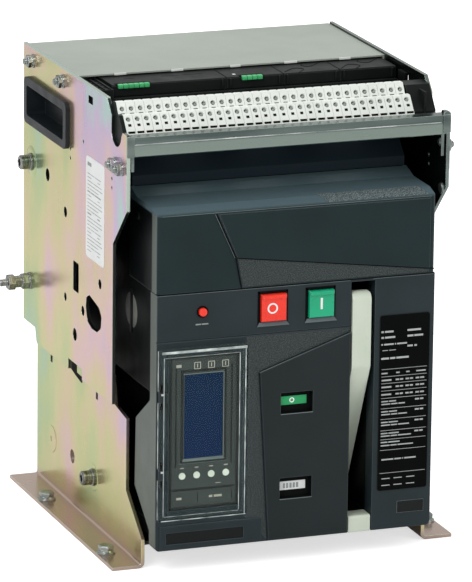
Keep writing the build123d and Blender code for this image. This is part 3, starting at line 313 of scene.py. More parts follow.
def piece(mesh, name, finish, body, sharp=35.0):
    """Closes a bmesh into an object with its finish, body and slot."""
    bmesh.ops.remove_doubles(mesh, verts=mesh.verts, dist=1e-6)
    bmesh.ops.recalc_face_normals(mesh, faces=mesh.faces)
    made = bpy.data.objects.new(name, bpy.data.meshes.new(name))
    mesh.to_mesh(made.data)
    mesh.free()
    made.data.materials.append(finish)
    made.data.shade_smooth()
    made.data.set_sharp_from_angle(angle=math.radians(sharp))
    bpy.context.collection.objects.link(made)
    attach(made, body)
    return made


def turned(mesh, centre, direction, outline, steps=32):
    """A turned shape: (radius, distance) points in millimetres along a direction, spun about it."""
    axis = Vector(direction).normalized()
    out = axis.orthogonal().normalized()
    line = [mesh.verts.new(centre + out * radius / 1000.0 + axis * along / 1000.0) for radius, along in outline]
    edges = [mesh.edges.new(pair) for pair in zip(line, line[1:])]
    bmesh.ops.spin(mesh, geom=line + edges, cent=centre, axis=axis, angle=2.0 * math.pi, steps=steps,
                   use_merge=True)


# Relief rings: shallow pressed rings round the two rear bosses, and the half-sheared round knock-out with
# its small hole near the back of each foot.
plate_face, foot_face = 141.0, 126.0
ring_mesh = bmesh.new()
for side in (-1.0, 1.0):
    for face, depth, height, outline in (
            (plate_face, 247.5, 289.3, ((7.7, -0.2), (7.7, 0.25), (13.4, 0.25), (14.2, -0.2))),
            (foot_face, 235.5, 45.0, ((2.3, -0.2), (2.3, 0.5), (11.6, 0.5), (12.2, -0.2))),
            (foot_face, 124.1, 42.8, ((7.7, -0.2), (7.7, 0.3), (11.6, 0.3), (12.2, -0.2)))):
        turned(ring_mesh, at(side * face, depth, height), (side, 0.0, 0.0), outline, 48)
piece(ring_mesh, "relief_rings", zinc, "chassis")


# Data label on the left side plate: a white printed sticker with round corners. Its lines of print are
# plain grey rules.
def block(mesh, low, high, rounding=0.0, segments=2):
    """A block between two corners in millimetres, with its edges rounded."""
    low, high = at(*low), at(*high)
    made = bmesh.ops.create_cube(mesh, size=1.0, matrix=Matrix.Translation((low + high) / 2.0) @ Matrix.Diagonal(
        (high.x - low.x, high.y - low.y, high.z - low.z, 1.0)))
    if rounding:
        edges = list({edge for vert in made["verts"] for edge in vert.link_edges})
        bmesh.ops.bevel(mesh, geom=edges, offset=rounding / 1000.0, offset_type="OFFSET", segments=segments,
                        profile=0.5, affect="EDGES", material=-1)


def block_piece(name, blocks, finish, body):
    """A piece of several blocks: two corners each, and a rounding where it has one."""
    mesh = bmesh.new()
    for corners in blocks:
        block(mesh, *corners)
    return piece(mesh, name, finish, body)


def sheen_finish(name, colour, darker, roughness, metallic=0.0, scale=60.0, grain=0.01, fine=1800.0, rim=0.4,
                 edge=None, specular=0.5, masks=()):
    """A moulded or painted finish: two close tones in soft patches, fine grain and a lighter rim."""
    finish, nodes, links, shader = start_finish(name)
    base = blend_colours(nodes, links, patches_in(nodes, scale, detail=3.0), darker, colour)
    finish_surface(nodes, links, shader, lay_masks(nodes, links, base, masks), rim, edge or colour,
                   (patches_in(nodes, scale * 3.0, detail=4.0), roughness - 0.05, roughness + 0.06),
                   (patches_in(nodes, fine, detail=1.0), grain), metallic, specular)
    return finish


label_paper = sheen_finish("label_paper", "#eceeed", "#e2e6e4", 0.42, grain=0.002, rim=0.1)
print_grey = sheen_finish("print_grey", "#9aa09e", "#878d8b", 0.5, grain=0.001, rim=0.05)
label_mesh = bmesh.new()
bmesh.ops.create_cube(label_mesh, size=1.0, matrix=Matrix.Translation(at(-141.15, 78.4, 286.4)) @ Matrix.Diagonal(
    (0.0003, 0.0470, 0.0860, 1.0)))
corners = [edge for edge in label_mesh.edges if abs(edge.verts[0].co.x - edge.verts[1].co.x) > 0.0002]
bmesh.ops.bevel(label_mesh, geom=corners, offset=0.004, offset_type="OFFSET", segments=4, profile=0.5,
                affect="EDGES", material=-1)
piece(label_mesh, "side_label", label_paper, "chassis")
rules_back, rules_front = -141.4, -141.25
rules = [((rules_back, 88.0, 321.6), (rules_front, 97.5, 324.6))]
for row in range(22):
    height = 314.6 - row * 3.1
    words = ((97.5, 90.0, 88.6, 80.0, 78.6, 64.0), (97.5, 84.0, 82.6, 62.0), (97.5, 93.0, 91.6, 70.0),
             (97.5, 88.0, 72.0, 66.0), (97.5, 79.0, 77.6, 60.0))[(row * 3) % 5]
    top = height + (1.1 if row in (5, 11) else 0.55)
    rules += [((rules_back, front, height), (rules_front, back, top)) for back, front in zip(words[::2], words[1::2])]
block_piece("side_label_rules", rules, print_grey, "chassis")

# Lifting grips: black moulded pockets let into both side plates, with a deep bevelled frame outside. The frame's rim
# carries a slightly paler painted highlight.
satin_black = sheen_finish("satin_black", "#20262a", "#191e21", 0.42, scale=25.0, grain=0.02, fine=1400.0,
                           rim=0.7, edge="#363e41", specular=0.25)
dress(satin_black, "left_grip", "right_grip")


# Bolts through the side plates: plated hexagon nuts on washers, with the threaded end standing out.
# Four on each plate: two at the top edge and two behind the nose.
def metal_finish(name, dark, pale, edge, rim, patches, sheen, grain=None, metallic=1.0, masks=()):
    """Metal in two tones: patches, sheen and grain start with a scale, a stretch and a detail; sheen goes on with
    its low and high roughness, grain with its depth."""
    finish, nodes, links, shader = start_finish(name)
    base = blend_colours(nodes, links, patches_in(nodes, *patches), dark, pale)
    finish_surface(nodes, links, shader, lay_masks(nodes, links, base, masks), rim, edge,
                   (patches_in(nodes, *sheen[:3]), *sheen[3:]),
                   grain and (patches_in(nodes, *grain[:3]), grain[3]), metallic)
    return finish


even = (1.0, 1.0, 1.0)
bright_steel = metal_finish("bright_steel", "#7b8380", "#aab1ae", "#f4f7f3", 0.35, (60.0, even, 2.0),
                            (200.0, even, 2.0, 0.12, 0.24))


def hexagon(mesh, centre, direction, across, low, high, chamfer=0.7):
    """A hexagon nut or head between two distances along a direction, chamfered at its outer end."""
    axis = Vector(direction).normalized()
    turn = Vector((0.0, 0.0, 1.0)).rotation_difference(axis).to_matrix().to_4x4()
    made = bmesh.ops.create_cone(mesh, cap_ends=True, segments=6, radius1=across / 1732.0, radius2=across / 1732.0,
                                 depth=(high - low) / 1000.0, matrix=Matrix.Translation(
                                     centre + axis * (low + high) / 2000.0) @ turn)
    cap = [face for face in {f for v in made["verts"] for f in v.link_faces}
           if face.normal.dot(axis) > 0.9 or face.normal.dot(axis) < -0.9]
    bmesh.ops.bevel(mesh, geom=list({edge for face in cap for edge in face.edges}), offset=chamfer / 1000.0,
                    offset_type="OFFSET", segments=1, profile=0.5, affect="EDGES", material=-1)


def thread(radius, start, end, pitch=1.0):
    """Outline of a threaded end: shallow ridges from start to end, then a chamfer."""
    count = int((end - start) / pitch)
    ridges = [(radius - 0.35 * (step % 2), start + step * pitch / 2.0) for step in range(2 * count)]
    return [(0.0, start)] + ridges + [(radius - 0.8, end), (0.0, end)]


bolt_mesh = bmesh.new()
for side in (-1.0, 1.0):
    for depth, height in ((244.0, 377.8), (163.5, 377.8), (29.4, 338.0), (13.2, 337.6)):
        seat = at(side * plate_face, depth, height)
        out = (side, 0.0, 0.0)
        for radius, low in ((6.0, 0.0), (4.9, 1.0)):
            turned(bolt_mesh, seat, out, ((0.0, low), (radius, low), (radius, low + 1.0), (0.0, low + 1.0)), 28)
        hexagon(bolt_mesh, seat, out, 10.0, 2.0, 5.8)
        turned(bolt_mesh, seat, out, thread(2.9, 5.6, 8.6), 20)
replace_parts(piece(bolt_mesh, "plate_nuts", bright_steel, "chassis"), "plate_bolts")

# Anchor bolts: flanged hexagon heads with a washer on the feet's flanges, blue-white plated.
anchor_mesh = bmesh.new()
for side in (-1.0, 1.0):
    for depth in (41.0, 198.0):
        seat = at(side * 143.0, depth, 3.0)
        turned(anchor_mesh, seat, (0, 0, 1), ((0.0, -3.0), (5.0, -3.0), (5.0, 0.0), (8.0, 0.0), (8.0, 1.3),
                                              (7.6, 1.6), (0.0, 1.6)), 32)
        turned(anchor_mesh, seat, (0, 0, 1), ((0.0, 1.6), (6.8, 1.6), (6.8, 2.2), (6.1, 3.0), (0.0, 3.0)), 32)
        hexagon(anchor_mesh, seat, (0, 0, 1), 11.5, 3.0, 7.1, 0.8)
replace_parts(piece(anchor_mesh, "anchor_heads", bright_steel, "chassis"), "anchor_bolts")


# Guide bosses and interlock stud: turned steel pins with a collar and a socket, and on the left plate a
# threaded rod with a washer, two nuts and a sleeve between them. The lathe leaves fine rings round them.
turned_steel = metal_finish("turned_steel", "#5a5d5b", "#a6a8a4", "#e6e8e4", 0.4, (90.0, (9.0, 1.0, 1.0), 4.0),
                            (260.0, (6.0, 1.0, 1.0), 3.0, 0.22, 0.38), (700.0, (3.0, 0.1, 0.1), 2.0, 0.03))
dress(turned_steel, "guide_bosses")
stud_mesh = bmesh.new()
stud_seat = at(-plate_face, 251.0, 183.4)
outward = (-1.0, 0.0, 0.0)
turned(stud_mesh, stud_seat, outward, ((0.0, 0.0), (7.4, 0.0), (7.4, 1.4), (7.0, 1.7), (0.0, 1.7)), 36)
hexagon(stud_mesh, stud_seat, outward, 12.0, 1.7, 8.5)
turned(stud_mesh, stud_seat, outward, ((0.0, 8.5), (5.2, 8.5), (5.2, 13.9), (0.0, 13.9)), 28)
hexagon(stud_mesh, stud_seat, outward, 12.0, 13.9, 20.7)
turned(stud_mesh, stud_seat, outward, thread(3.2, 20.0, 27.5, 1.2), 20)
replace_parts(piece(stud_mesh, "locking_stud", turned_steel, "chassis"), "interlock_stud")


# Base pan, guide rails and cross rail: bright zinc-plated sheet with grey-green streaks along its length. The rail is
# creased along its middle; its face below the crease is painted paler as light on that face, and a bright painted
# highlight runs along the crease.
def bright_zinc_finish(name, dark, pale, stretch, roughness, masks=()):
    """Plated sheet in two streaky tones."""
    return metal_finish(name, dark, pale, "#dfe9e2", 0.5, (60.0, stretch, 4.0),
                        (120.0, stretch, 3.0, roughness - 0.06, roughness + 0.08), (700.0, stretch, 2.0, 0.012), 0.9,
                        masks)


rail_zinc = bright_zinc_finish("rail_zinc", "#5d6866", "#8d9893", (0.12, 1.0, 1.0), 0.34)
dress(rail_zinc, "base_pan", "guide_rails")
# The cross rail's face below the crease is painted paler, as painted light on that face.
dress(bright_zinc_finish("rolled_zinc", "#55625f", "#84918c", (0.1, 1.0, 1.0), 0.22,
                         (("Z", 359.6, 358.0, "#8b9991"),)), "cross_rail")
# A bright painted highlight along the rail's crease.
crease_painted_highlight = bright_zinc_finish("crease_painted_highlight", "#7f8b87", "#ffffff", (0.5, 1.0, 1.0), 0.2)
crease_mesh = bmesh.new()
bmesh.ops.create_cone(crease_mesh, cap_ends=True, segments=8, radius1=0.0006, radius2=0.0006, depth=0.268,
                      matrix=Matrix.Translation(at(-1.0, 0.0, 360.0)) @ Matrix.Rotation(math.radians(90.0), 4, "Y"))
piece(crease_mesh, "rail_crease", crease_painted_highlight, "chassis")

# Rail ends: folded tabs that hook round the front edges of the side plates, with a rounded lug above on the
# right, each held by a screw.
tab_mesh = bmesh.new()
for low, high, rounding in (((134.6, -1.2, 351.0), (141.4, 0.8, 366.5), 0.6),
                            ((133.4, 0.0, 331.5), (136.0, 1.4, 351.0), 0.4),
                            ((137.9, -0.9, 320.0), (140.9, -0.1, 351.0), 0.25),
                            ((-141.0, -1.0, 349.5), (-134.6, 0.6, 367.0), 0.4),
                            ((-137.2, 0.0, 337.5), (-134.6, 1.6, 351.0), 0.4)):
    block(tab_mesh, low, high, rounding)
turned(tab_mesh, at(137.9, -0.9, 366.2), (0, 1, 0), ((0.0, 0.0), (3.2, 0.0), (3.5, 0.4), (3.5, 3.0), (0.0, 3.0)), 24)
for depth, height, outline, steps in (
        (12.0, 340.5, ((0.0, 0.0), (3.4, 0.0), (3.4, 1.0), (2.0, 2.4), (0.0, 2.6)), 20),
        (8.0, 302.0, ((0.0, 0.0), (5.0, 0.0), (4.4, 1.6), (2.2, 2.6), (0.0, 2.7)), 24),
        (30.0, 345.0, ((0.0, 0.0), (3.4, 0.0), (3.0, 1.2), (0.0, 1.6)), 20)):
    turned(tab_mesh, at(138.0, depth, height), (-1, 0, 0), outline, steps)
piece(tab_mesh, "rail_tabs", rail_zinc, "chassis")

# Top cover: folded grey sheet with a fine sanded paint. Five punched tabs stand along its front, painted near-white as
# a highlight on their lit edges.
cover_paint = sheen_finish("cover_paint", "#a5ada3", "#9ba39a", 0.55, scale=14.0, grain=0.012, fine=2200.0,
                           rim=0.5, edge="#e6ebe4")
dress(cover_paint, "top_cover")
tab_painted_highlight = sheen_finish("tab_painted_highlight", "#f1f4ef", "#dfe4dd", 0.5, grain=0.005, rim=0.1)
block_piece("cover_tabs", [((start, 139.5, 385.3), (end, 140.4, 387.2), 0.2) for start, end in (
    (-104.0, -93.4), (-53.7, -43.1), (-1.3, 7.9), (47.1, 58.6), (96.7, 106.9))], tab_painted_highlight, "chassis")

# Accessory modules: charcoal moulded boxes with a matt lid, in a row behind the terminal strip. Two carry
# green plug-in connectors on their front edge, and two are blank with U-shaped knock-out slits.
module_black = sheen_finish("module_black", "#1b1f1e", "#151918", 0.42, scale=30.0, grain=0.02, fine=1500.0,
                            rim=0.6, edge="#47514f", specular=0.12)
dress(module_black, "motor_module", "auxiliary_module", "spare_module_1", "spare_module_2", "end_bracket",
      "strip_end_block", "accessory_shelf")
connector_green = sheen_finish("connector_green", "#4cc47b", "#3aac68", 0.38, scale=80.0, grain=0.01, rim=0.3,
                               edge="#9be5b4")
connector_blocks, socket_blocks = [], []
for left, depth, ways in ((-112.0, 105.6, 6), (-3.0, 105.6, 4)):
    socket_blocks.append(((left - 1.5, depth + 3.0, 384.0), (left + ways * 4.6 + 1.5, depth + 8.5, 384.8), 0.2))
    connector_blocks += [((left + way * 4.6 + 0.2, depth, 381.6), (left + way * 4.6 + 4.4, depth + 4.0, 385.2), 0.5)
                         for way in range(ways)]
socket_blocks += [((left, 128.0, 384.45), (left + width, 128.7, 384.58))
                  for left, width in ((-100.0, 9.0), (-66.0, 14.0), (-48.0, 18.0))]
block_piece("plug_connectors", connector_blocks, connector_green, "chassis")
block_piece("module_marks", [((-7.6, 116.0, 384.5), (-5.2, 119.0, 384.75))], label_paper, "chassis")


def groove_line(name, points, radius, finish, body):
    """A fine line along points in millimetres, in the finish it is given: dark for seams and painted shade, pale for
    painted highlights.
    """
    line = bpy.data.curves.new(name, "CURVE")
    line.dimensions = "3D"
    line.bevel_depth = radius / 1000.0
    line.bevel_resolution = 1
    for run in points:
        spline = line.splines.new("POLY")
        spline.points.add(len(run) - 1)
        for point, (x, depth, z) in zip(spline.points, run):
            point.co = (*at(x, depth, z), 1.0)
    source = bpy.data.objects.new(name, line)
    shape = bmesh.new()
    shape.from_mesh(bpy.data.meshes.new_from_object(source))
    bpy.data.objects.remove(source)
    return piece(shape, name, finish, body)


# Matt black for dark seams, joints and pins, and for painted shade in grooves, holes and recesses.
seam_black_and_painted_shade = sheen_finish("seam_black_and_painted_shade", "#0b0d0e", "#070809", 0.7, grain=0.01, rim=0.05, specular=0.1)
block_piece("connector_frames", socket_blocks, seam_black_and_painted_shade, "chassis")
slits = [((37.6, 113.4), (46.0, 121.8), (49.5, 123.8), (53.4, 123.2), (56.4, 120.4), (56.0, 117.0), (48.7, 108.6)),
         ((63.7, 139.4), (60.6, 136.0), (59.4, 132.6), (60.6, 129.0), (63.4, 127.0), (66.6, 127.6), (78.8, 139.4)),
         ((87.0, 111.2), (95.4, 121.8), (98.6, 124.0), (103.0, 123.2), (106.4, 119.6), (106.2, 116.0), (99.9, 108.6)),
         ((114.3, 139.4), (111.2, 136.0), (110.2, 132.4), (111.6, 128.8), (115.0, 126.4), (118.8, 127.0),
          (129.8, 138.1))]
slits += [((joint, 108.4), (joint, 139.6)) for joint in (-116.8, -16.1, 34.5, 85.1)]
groove_line("knock_out_slits", [[(x, depth, 384.5) for x, depth in run] for run in slits], 0.38, seam_black_and_painted_shade,
            "chassis")

# Latch blocks: small dark blocks behind the key holes of both side plates, and a dark face painted as the shadow in the
# notch above the left and right foot.
def flat_face(mesh, points):
    """A face through points in millimetres."""
    return mesh.faces.new([mesh.verts.new(at(*point)) for point in points])


def push_out(mesh, faces, step):
    """Pushes faces by a step in millimetres, so that they bound a solid."""
    out = bmesh.ops.extrude_face_region(mesh, geom=faces)
    bmesh.ops.translate(mesh, verts=[v for v in out["geom"] if isinstance(v, bmesh.types.BMVert)],
                        vec=Vector(step) / 1000.0)


latch_mesh = bmesh.new()
for side in (-1.0, 1.0):
    low, high = sorted((side * 134.6, side * 137.9))
    block(latch_mesh, (low, 86.0, 371.0), (high, 101.5, 383.0), 0.4)
    notch = flat_face(latch_mesh, [(side * (foot_face + 0.1), depth, z) for depth, z in (
        (186.8, 130.0), (169.3, 130.0), (169.3, 122.4), (154.0, 122.0), (155.3, 116.9), (171.0, 119.5),
        (186.3, 122.8))])
    push_out(latch_mesh, [notch], (side * 0.3, 0.0, 0.0))
piece(latch_mesh, "latch_blocks_and_notch_shadow", seam_black_and_painted_shade, "chassis")

# Module ends and lips: small ribs at the joints between the modules, long ribs on the left bracket, and a flange on the
# block at the right end of the strip.
rib_blocks = [((joint + left, 106.6, 376.0), (joint + left + 1.2, 108.6, 383.8), 0.3)
              for joint in (-16.1, 34.5, 85.1, 135.7) for left in (-4.5, 2.8)]
rib_blocks += [((left, 104.0, 366.0), (right, 108.5, 374.5), 0.5)
               for left, right in ((-116.6, -16.4), (-15.8, 34.2), (34.8, 84.8), (85.4, 135.4))]
rib_blocks += [((-136.6 + step * 5.2, 102.4, 381.0), (-135.2 + step * 5.2, 139.0, 383.8), 0.3) for step in range(4)]
rib_blocks += [((127.6, 24.0, 360.0), (129.2, 52.0, 381.0), 0.5), ((117.0, 64.0, 358.0), (134.0, 98.0, 374.0), 0.8)]
block_piece("module_ribs", rib_blocks, module_black, "chassis")


# Terminal strip: 32 ways of off-white polyamide in two slanted tiers, the lower one a little to the right. Each way has
# a round screw funnel in both tiers and a square wire entry below; painted shade lines the funnels and the entry, a
# slot at the foot of the upper tier and a notch at the way's foot.
def carve(body, tool_mesh):
    """Cuts the shape of a bmesh out of an object, for good."""
    bmesh.ops.recalc_face_normals(tool_mesh, faces=tool_mesh.faces)
    tool = bpy.data.objects.new("cutter", bpy.data.meshes.new("cutter"))
    tool_mesh.to_mesh(tool.data)
    tool_mesh.free()
    bpy.context.collection.objects.link(tool)
    cut = body.modifiers.new("carve", "BOOLEAN")
    cut.operation = "DIFFERENCE"
    cut.solver = "EXACT"
    cut.object = tool
    graph = bpy.context.evaluated_depsgraph_get()
    graph.update()
    body.data = bpy.data.meshes.new_from_object(body.evaluated_get(graph))
    body.modifiers.clear()
    bpy.data.objects.remove(tool)


terminal_white = sheen_finish("terminal_white", "#eef2ec", "#e2e8e0", 0.4, scale=40.0, grain=0.008, rim=0.35,
                              edge="#ffffff")
way_count, way_pitch, way_width, way_x = 32, 7.85, 7.58, -132.9
upper_slope = Vector((0.0, -8.9, 5.6)).normalized()
lower_slope = Vector((0.0, -15.3, 12.4)).normalized()
tilt = Vector((0.0, 0.0, 1.0)).rotation_difference(lower_slope).to_matrix().to_4x4()
upper_funnel, lower_funnel, entry_place = (0.2, 36.7, 381.75), (2.2, 27.0, 375.15), (2.4, 23.5, 370.8)


def way_body(name, left, outline):
    """One tier of one way: its side outline, as (depth, height), pushed across the pitch."""
    shape = bmesh.new()
    push_out(shape, [flat_face(shape, [(left, depth, z) for depth, z in outline])], (way_width, 0.0, 0.0))
    bmesh.ops.recalc_face_normals(shape, faces=shape.faces)
    made = bpy.data.objects.new(name, bpy.data.meshes.new(name))
    shape.to_mesh(made.data)
    shape.free()
    bpy.context.collection.objects.link(made)
    return made


def funnel(mesh, x, place, slope, outline, steps=16):
    """A turned shape on one way's slope."""
    turned(mesh, at(x + place[0], place[1], place[2]), slope, outline, steps)


def wire_entry(mesh, x, back, drop, size):
    """A block at one way's square wire entry, turned to the slope."""
    bmesh.ops.create_cube(mesh, size=1.0, matrix=Matrix.Translation(at(
        x + entry_place[0], entry_place[1] + back, entry_place[2] - drop)) @ tilt @ Matrix.Diagonal((*size, 1.0)))


upper_way = way_body("upper_way", way_x - 3.9, (
    (34.5, 362.0), (34.5, 378.1), (40.0, 387.0), (44.0, 387.0), (56.0, 375.0), (56.0, 362.0)))
lower_way = way_body("lower_way", way_x - 1.5, (
    (17.1, 359.0), (17.1, 362.9), (29.4, 378.1), (34.4, 378.1), (34.4, 359.0)))
bowl = ((0.0, -3.2), (1.7, -3.2), (1.8, -1.2), (2.2, 0.0), (2.35, 1.5), (0.0, 1.5))
cutter = bmesh.new()
funnel(cutter, way_x, upper_funnel, upper_slope, bowl)
for side in (-1.0, 1.0):
    turned(cutter, at(way_x + side * 3.92, 46.0, 388.0), (0, -1, 0),
           ((0.0, -6.0), (1.5, -6.0), (1.5, 9.0), (0.0, 9.0)), 12)
carve(upper_way, cutter)
cutter = bmesh.new()
funnel(cutter, way_x, lower_funnel, lower_slope, bowl)
wire_entry(cutter, way_x, 0.0, 0.0, (0.0027, 0.0023, 0.0040))
carve(lower_way, cutter)
strip_mesh = bmesh.new()
strip_mesh.from_mesh(upper_way.data)
strip_mesh.from_mesh(lower_way.data)
bpy.data.objects.remove(upper_way)
bpy.data.objects.remove(lower_way)
one_way = list(strip_mesh.verts) + list(strip_mesh.edges) + list(strip_mesh.faces)
pins = bmesh.new()
# Painted shade inside the funnels, the wire entries, the slot at the upper tier's foot and the notch at each way's
# foot.
shadows = bmesh.new()
for step in range(way_count):
    if step:
        again = bmesh.ops.duplicate(strip_mesh, geom=one_way)
        bmesh.ops.translate(strip_mesh, verts=[v for v in again["geom"] if isinstance(v, bmesh.types.BMVert)],
                            vec=(step * way_pitch / 1000.0, 0.0, 0.0))
    x = way_x + step * way_pitch
    for place, slope in ((upper_funnel, upper_slope), (lower_funnel, lower_slope)):
        funnel(shadows, x, place, slope, ((0.0, -3.1), (1.75, -3.1), (1.75, -1.5), (0.0, -1.5)), 14)
        funnel(pins, x, (place[0] + 0.25, place[1], place[2] - 0.2), slope,
               ((0.0, -1.6), (1.25, -1.6), (1.25, -0.9), (1.0, -0.7), (0.0, -0.7)), 12)
    wire_entry(shadows, x, 0.7, 0.6, (0.0026, 0.0022, 0.0020))
    block(shadows, (x - 1.7, 33.6, 378.0), (x + 1.7, 34.45, 378.45))
    block(shadows, (x - 0.2, 18.7, 362.9), (x + 5.4, 22.0, 366.5))
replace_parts(piece(strip_mesh, "terminal_ways", terminal_white, "chassis", 30.0), "terminal_strip")
block_piece("strip_base", [((-136.8, 24.0, 356.0), (113.6, 50.0, 364.0))], satin_black, "chassis")
screw_grey = sheen_finish("screw_grey", "#a2a9a2", "#8b928b", 0.35, scale=200.0, grain=0.01, rim=0.3, metallic=0.3)
piece(pins, "strip_screws", screw_grey, "chassis")
piece(shadows, "strip_painted_shade", seam_black_and_painted_shade, "chassis")


# Breaker mouldings: charcoal glass-filled polyester. The smooth fields have a satin skin, and the corners and rims
# catch a thin grey line of light. Painted sheen makes the hood's top and the left flanks of hood and cover paler,
# painted shade darkens the hood behind its front, and the case is a darker shaded copy with a painted sheen on its
# upper part.
def moulding_finish(name, dark, pale, roughness=0.40, fine=1600.0, edge="#566064", specular=0.22, masks=()):
    """Satin moulding in two close tones; each mask lays a colour over a part of it."""
    return sheen_finish(name, pale, dark, roughness, scale=18.0, grain=0.012, fine=fine, rim=0.9, edge=edge,
                        specular=specular, masks=masks)


# Painted sheen lightens the left flanks of hood and cover and the hood's top; painted shade darkens the hood behind its
# front, between the side plates.
hood_black = moulding_finish("hood_black", "#142527", "#192b2d", masks=(
    ("X", -120.9, -121.5, "#5f6661"), ("Y", -147.5, -145.5, "#0b0f10"), ("Z", 303.4, 305.0, "#53676d")))
cover_black = moulding_finish("cover_black", "#222c2f", "#293438", masks=(("X", -120.9, -121.5, "#5f6661"),))
panel_black = moulding_finish("panel_black", "#1a2324", "#20292a")
# The case is a darker copy of the moulding, painted as the shade between the side plates, with a painted sheen on its
# upper part.
case_black_painted_shade = moulding_finish("case_black_painted_shade", "#080a0b", "#0b0e10", 0.45, 1200.0, "#30383b", 0.10, (
    ("Z", 300.0, 306.0, "#26323a"),))
dress(hood_black, "upper_front_cover")
dress(cover_black, "lower_front_cover", "lower_left_panel")
dress(panel_black, "middle_panel")
dress(case_black_painted_shade, "breaker_case", "rear_contact_base")


# Spark-eroded fields: coarse matt grain on the wedge under the hood's smooth field, on the area round the controller,
# and on the finger grip on top of the hood, which is painted lighter as a sheen like the hood's top.
def eroded_finish(name, dark, pale):
    """Coarse grain in two tones, pitted."""
    finish, nodes, links, shader = start_finish(name)
    place = nodes.new("ShaderNodeTexCoord")
    pits = nodes.new("ShaderNodeTexVoronoi")
    pits.inputs["Scale"].default_value = 900.0
    links.new(place.outputs["Object"], pits.inputs["Vector"])
    speckle = nodes.new("ShaderNodeTexNoise")
    speckle.inputs["Scale"].default_value = 1100.0
    speckle.inputs["Detail"].default_value = 2.0
    links.new(place.outputs["Object"], speckle.inputs["Vector"])
    grains = nodes.new("ShaderNodeMapRange")
    grains.inputs["From Min"].default_value = 0.42
    grains.inputs["From Max"].default_value = 0.68
    links.new(speckle.outputs["Fac"], grains.inputs["Value"])
    grain = grains.outputs["Result"]
    finish_surface(nodes, links, shader, blend_colours(nodes, links, grain, dark, pale), 0.4, "#4f585b",
                   (grain, 0.6, 0.5), (pits.outputs["Distance"], 0.25), specular=0.35)
    return finish


eroded_black = eroded_finish("eroded_black", "#22292a", "#495353")


def plate_on_front(mesh, corners, back, proud):
    """A thin plate on the front: corners as (x, z) in millimetres, from one depth to another."""
    push_out(mesh, [flat_face(mesh, [(x, back, z) for x, z in corners])], (0.0, -proud, 0.0))


front_face = -20.4
field_mesh = bmesh.new()
plate_on_front(field_mesh, ((-51.9, 263.8), (116.3, 241.8), (116.3, 239.6), (-47.0, 239.6)), front_face, 0.15)
plate_on_front(field_mesh, ((-43.6, 196.9), (46.6, 196.9), (46.6, 194.2), (-32.8, 166.4), (-23.7, 21.5), (-43.0, 43.0),
                            (-43.6, 47.0)), front_face, 0.12)
piece(field_mesh, "eroded_fields", eroded_black, "breaker")
# The finger grip on the hood's top is a lighter copy of the grain, painted as the sheen on the top.
grip_mesh = bmesh.new()
near_left, near_right, bend_right, bend_left, far_right, far_left = [grip_mesh.verts.new(at(*place)) for place in (
    (27.5, -17.5, 304.4), (116.3, -17.5, 304.4), (113.0, -5.6, 307.9), (23.0, -5.6, 307.9),
    (112.0, -2.0, 307.95), (21.6, -2.0, 307.95))]
push_out(grip_mesh, [grip_mesh.faces.new((near_left, near_right, bend_right, bend_left)),
                     grip_mesh.faces.new((bend_left, bend_right, far_right, far_left))], (0.0, 0.0, 0.4))
piece(grip_mesh, "hood_grip_pad", eroded_finish("eroded_pad_painted_sheen", "#3a4648", "#8b989a"), "breaker")

# Moulded seams: the dark parting line between hood and lower cover with a painted highlight on its lower edge, the
# groove that divides the hood's front, painted dark as shade with a painted highlight beside it, a dark line painted as
# shade at the step across the hood's top, and painted highlights on the hood top's front edge and on the upper edge of
# the middle panel.
edge_light = sheen_finish("edge_light", "#75827f", "#5b6766", 0.4, scale=40.0, grain=0.005, rim=0.1)
groove_line("hood_seams_and_painted_shade", [
    [(-71.2, -21.2, 302.6), (-53.9, -21.2, 264.8), (-48.9, -20.5, 239.2)],
    [(-53.9, -21.2, 264.8), (120.8, -21.2, 242.0)],
    [(-121.2, front_face, 238.1), (121.2, front_face, 238.1)], [(-118.0, 46.5, 313.8), (118.0, 46.5, 313.8)]],
            0.42, seam_black_and_painted_shade, "breaker")
groove_line("seam_painted_highlights", [
    [(-121.0, -20.35, 237.3), (47.0, -20.35, 237.3)], [(67.0, -20.35, 237.3), (121.0, -20.35, 237.3)],
    [(-32.0, -22.3, 166.2), (47.0, -22.3, 193.4)], [(-72.2, -21.3, 302.6), (-54.9, -21.3, 264.9)],
    [(-117.5, -20.35, 303.6), (117.5, -20.35, 303.6)]], 0.22, edge_light, "breaker")

# Button surrounds: a dark frame painted as the shade of the recess round each push button, a slanting sill below it
# painted grey as light on its upper face, and a dark ring painted as shade round the small reset button.
# The sills are painted lighter grey than the moulding, as light on their up-facing slope.
sill_painted_light = sheen_finish("sill_painted_light", "#5d686c", "#525c60", 0.45, scale=30.0, grain=0.01, rim=0.4, edge="#7f8b90")
sill_mesh = bmesh.new()
for middle in (-20.9, 20.9):
    face = flat_face(sill_mesh, [(middle + x, depth, z) for x, depth, z in (
        (-14.2, -21.9, 204.9), (14.2, -21.9, 204.9), (11.6, -20.5, 208.7), (-11.6, -20.5, 208.7))])
    bmesh.ops.solidify(sill_mesh, geom=[face], thickness=0.0006)
piece(sill_mesh, "button_sills", sill_painted_light, "breaker")
surround_mesh = bmesh.new()
for middle in (-20.9, 20.9):
    for left, right, bottom, top in ((-13.4, -11.3, 206.5, 234.2), (11.3, 13.0, 206.5, 234.2),
                                     (-13.4, 13.0, 232.4, 234.6), (-11.6, 11.6, 207.9, 209.1)):
        block(surround_mesh, (middle + left, -20.7, bottom), (middle + right, -20.3, top), 0.15)
turned(surround_mesh, at(-82.2, -20.2, 221.6), (0, -1, 0),
       ((4.0, 0.0), (4.0, 0.9), (4.4, 1.1), (4.9, 0.9), (5.0, 0.0)), 36)
piece(surround_mesh, "button_painted_shade", seam_black_and_painted_shade, "breaker")

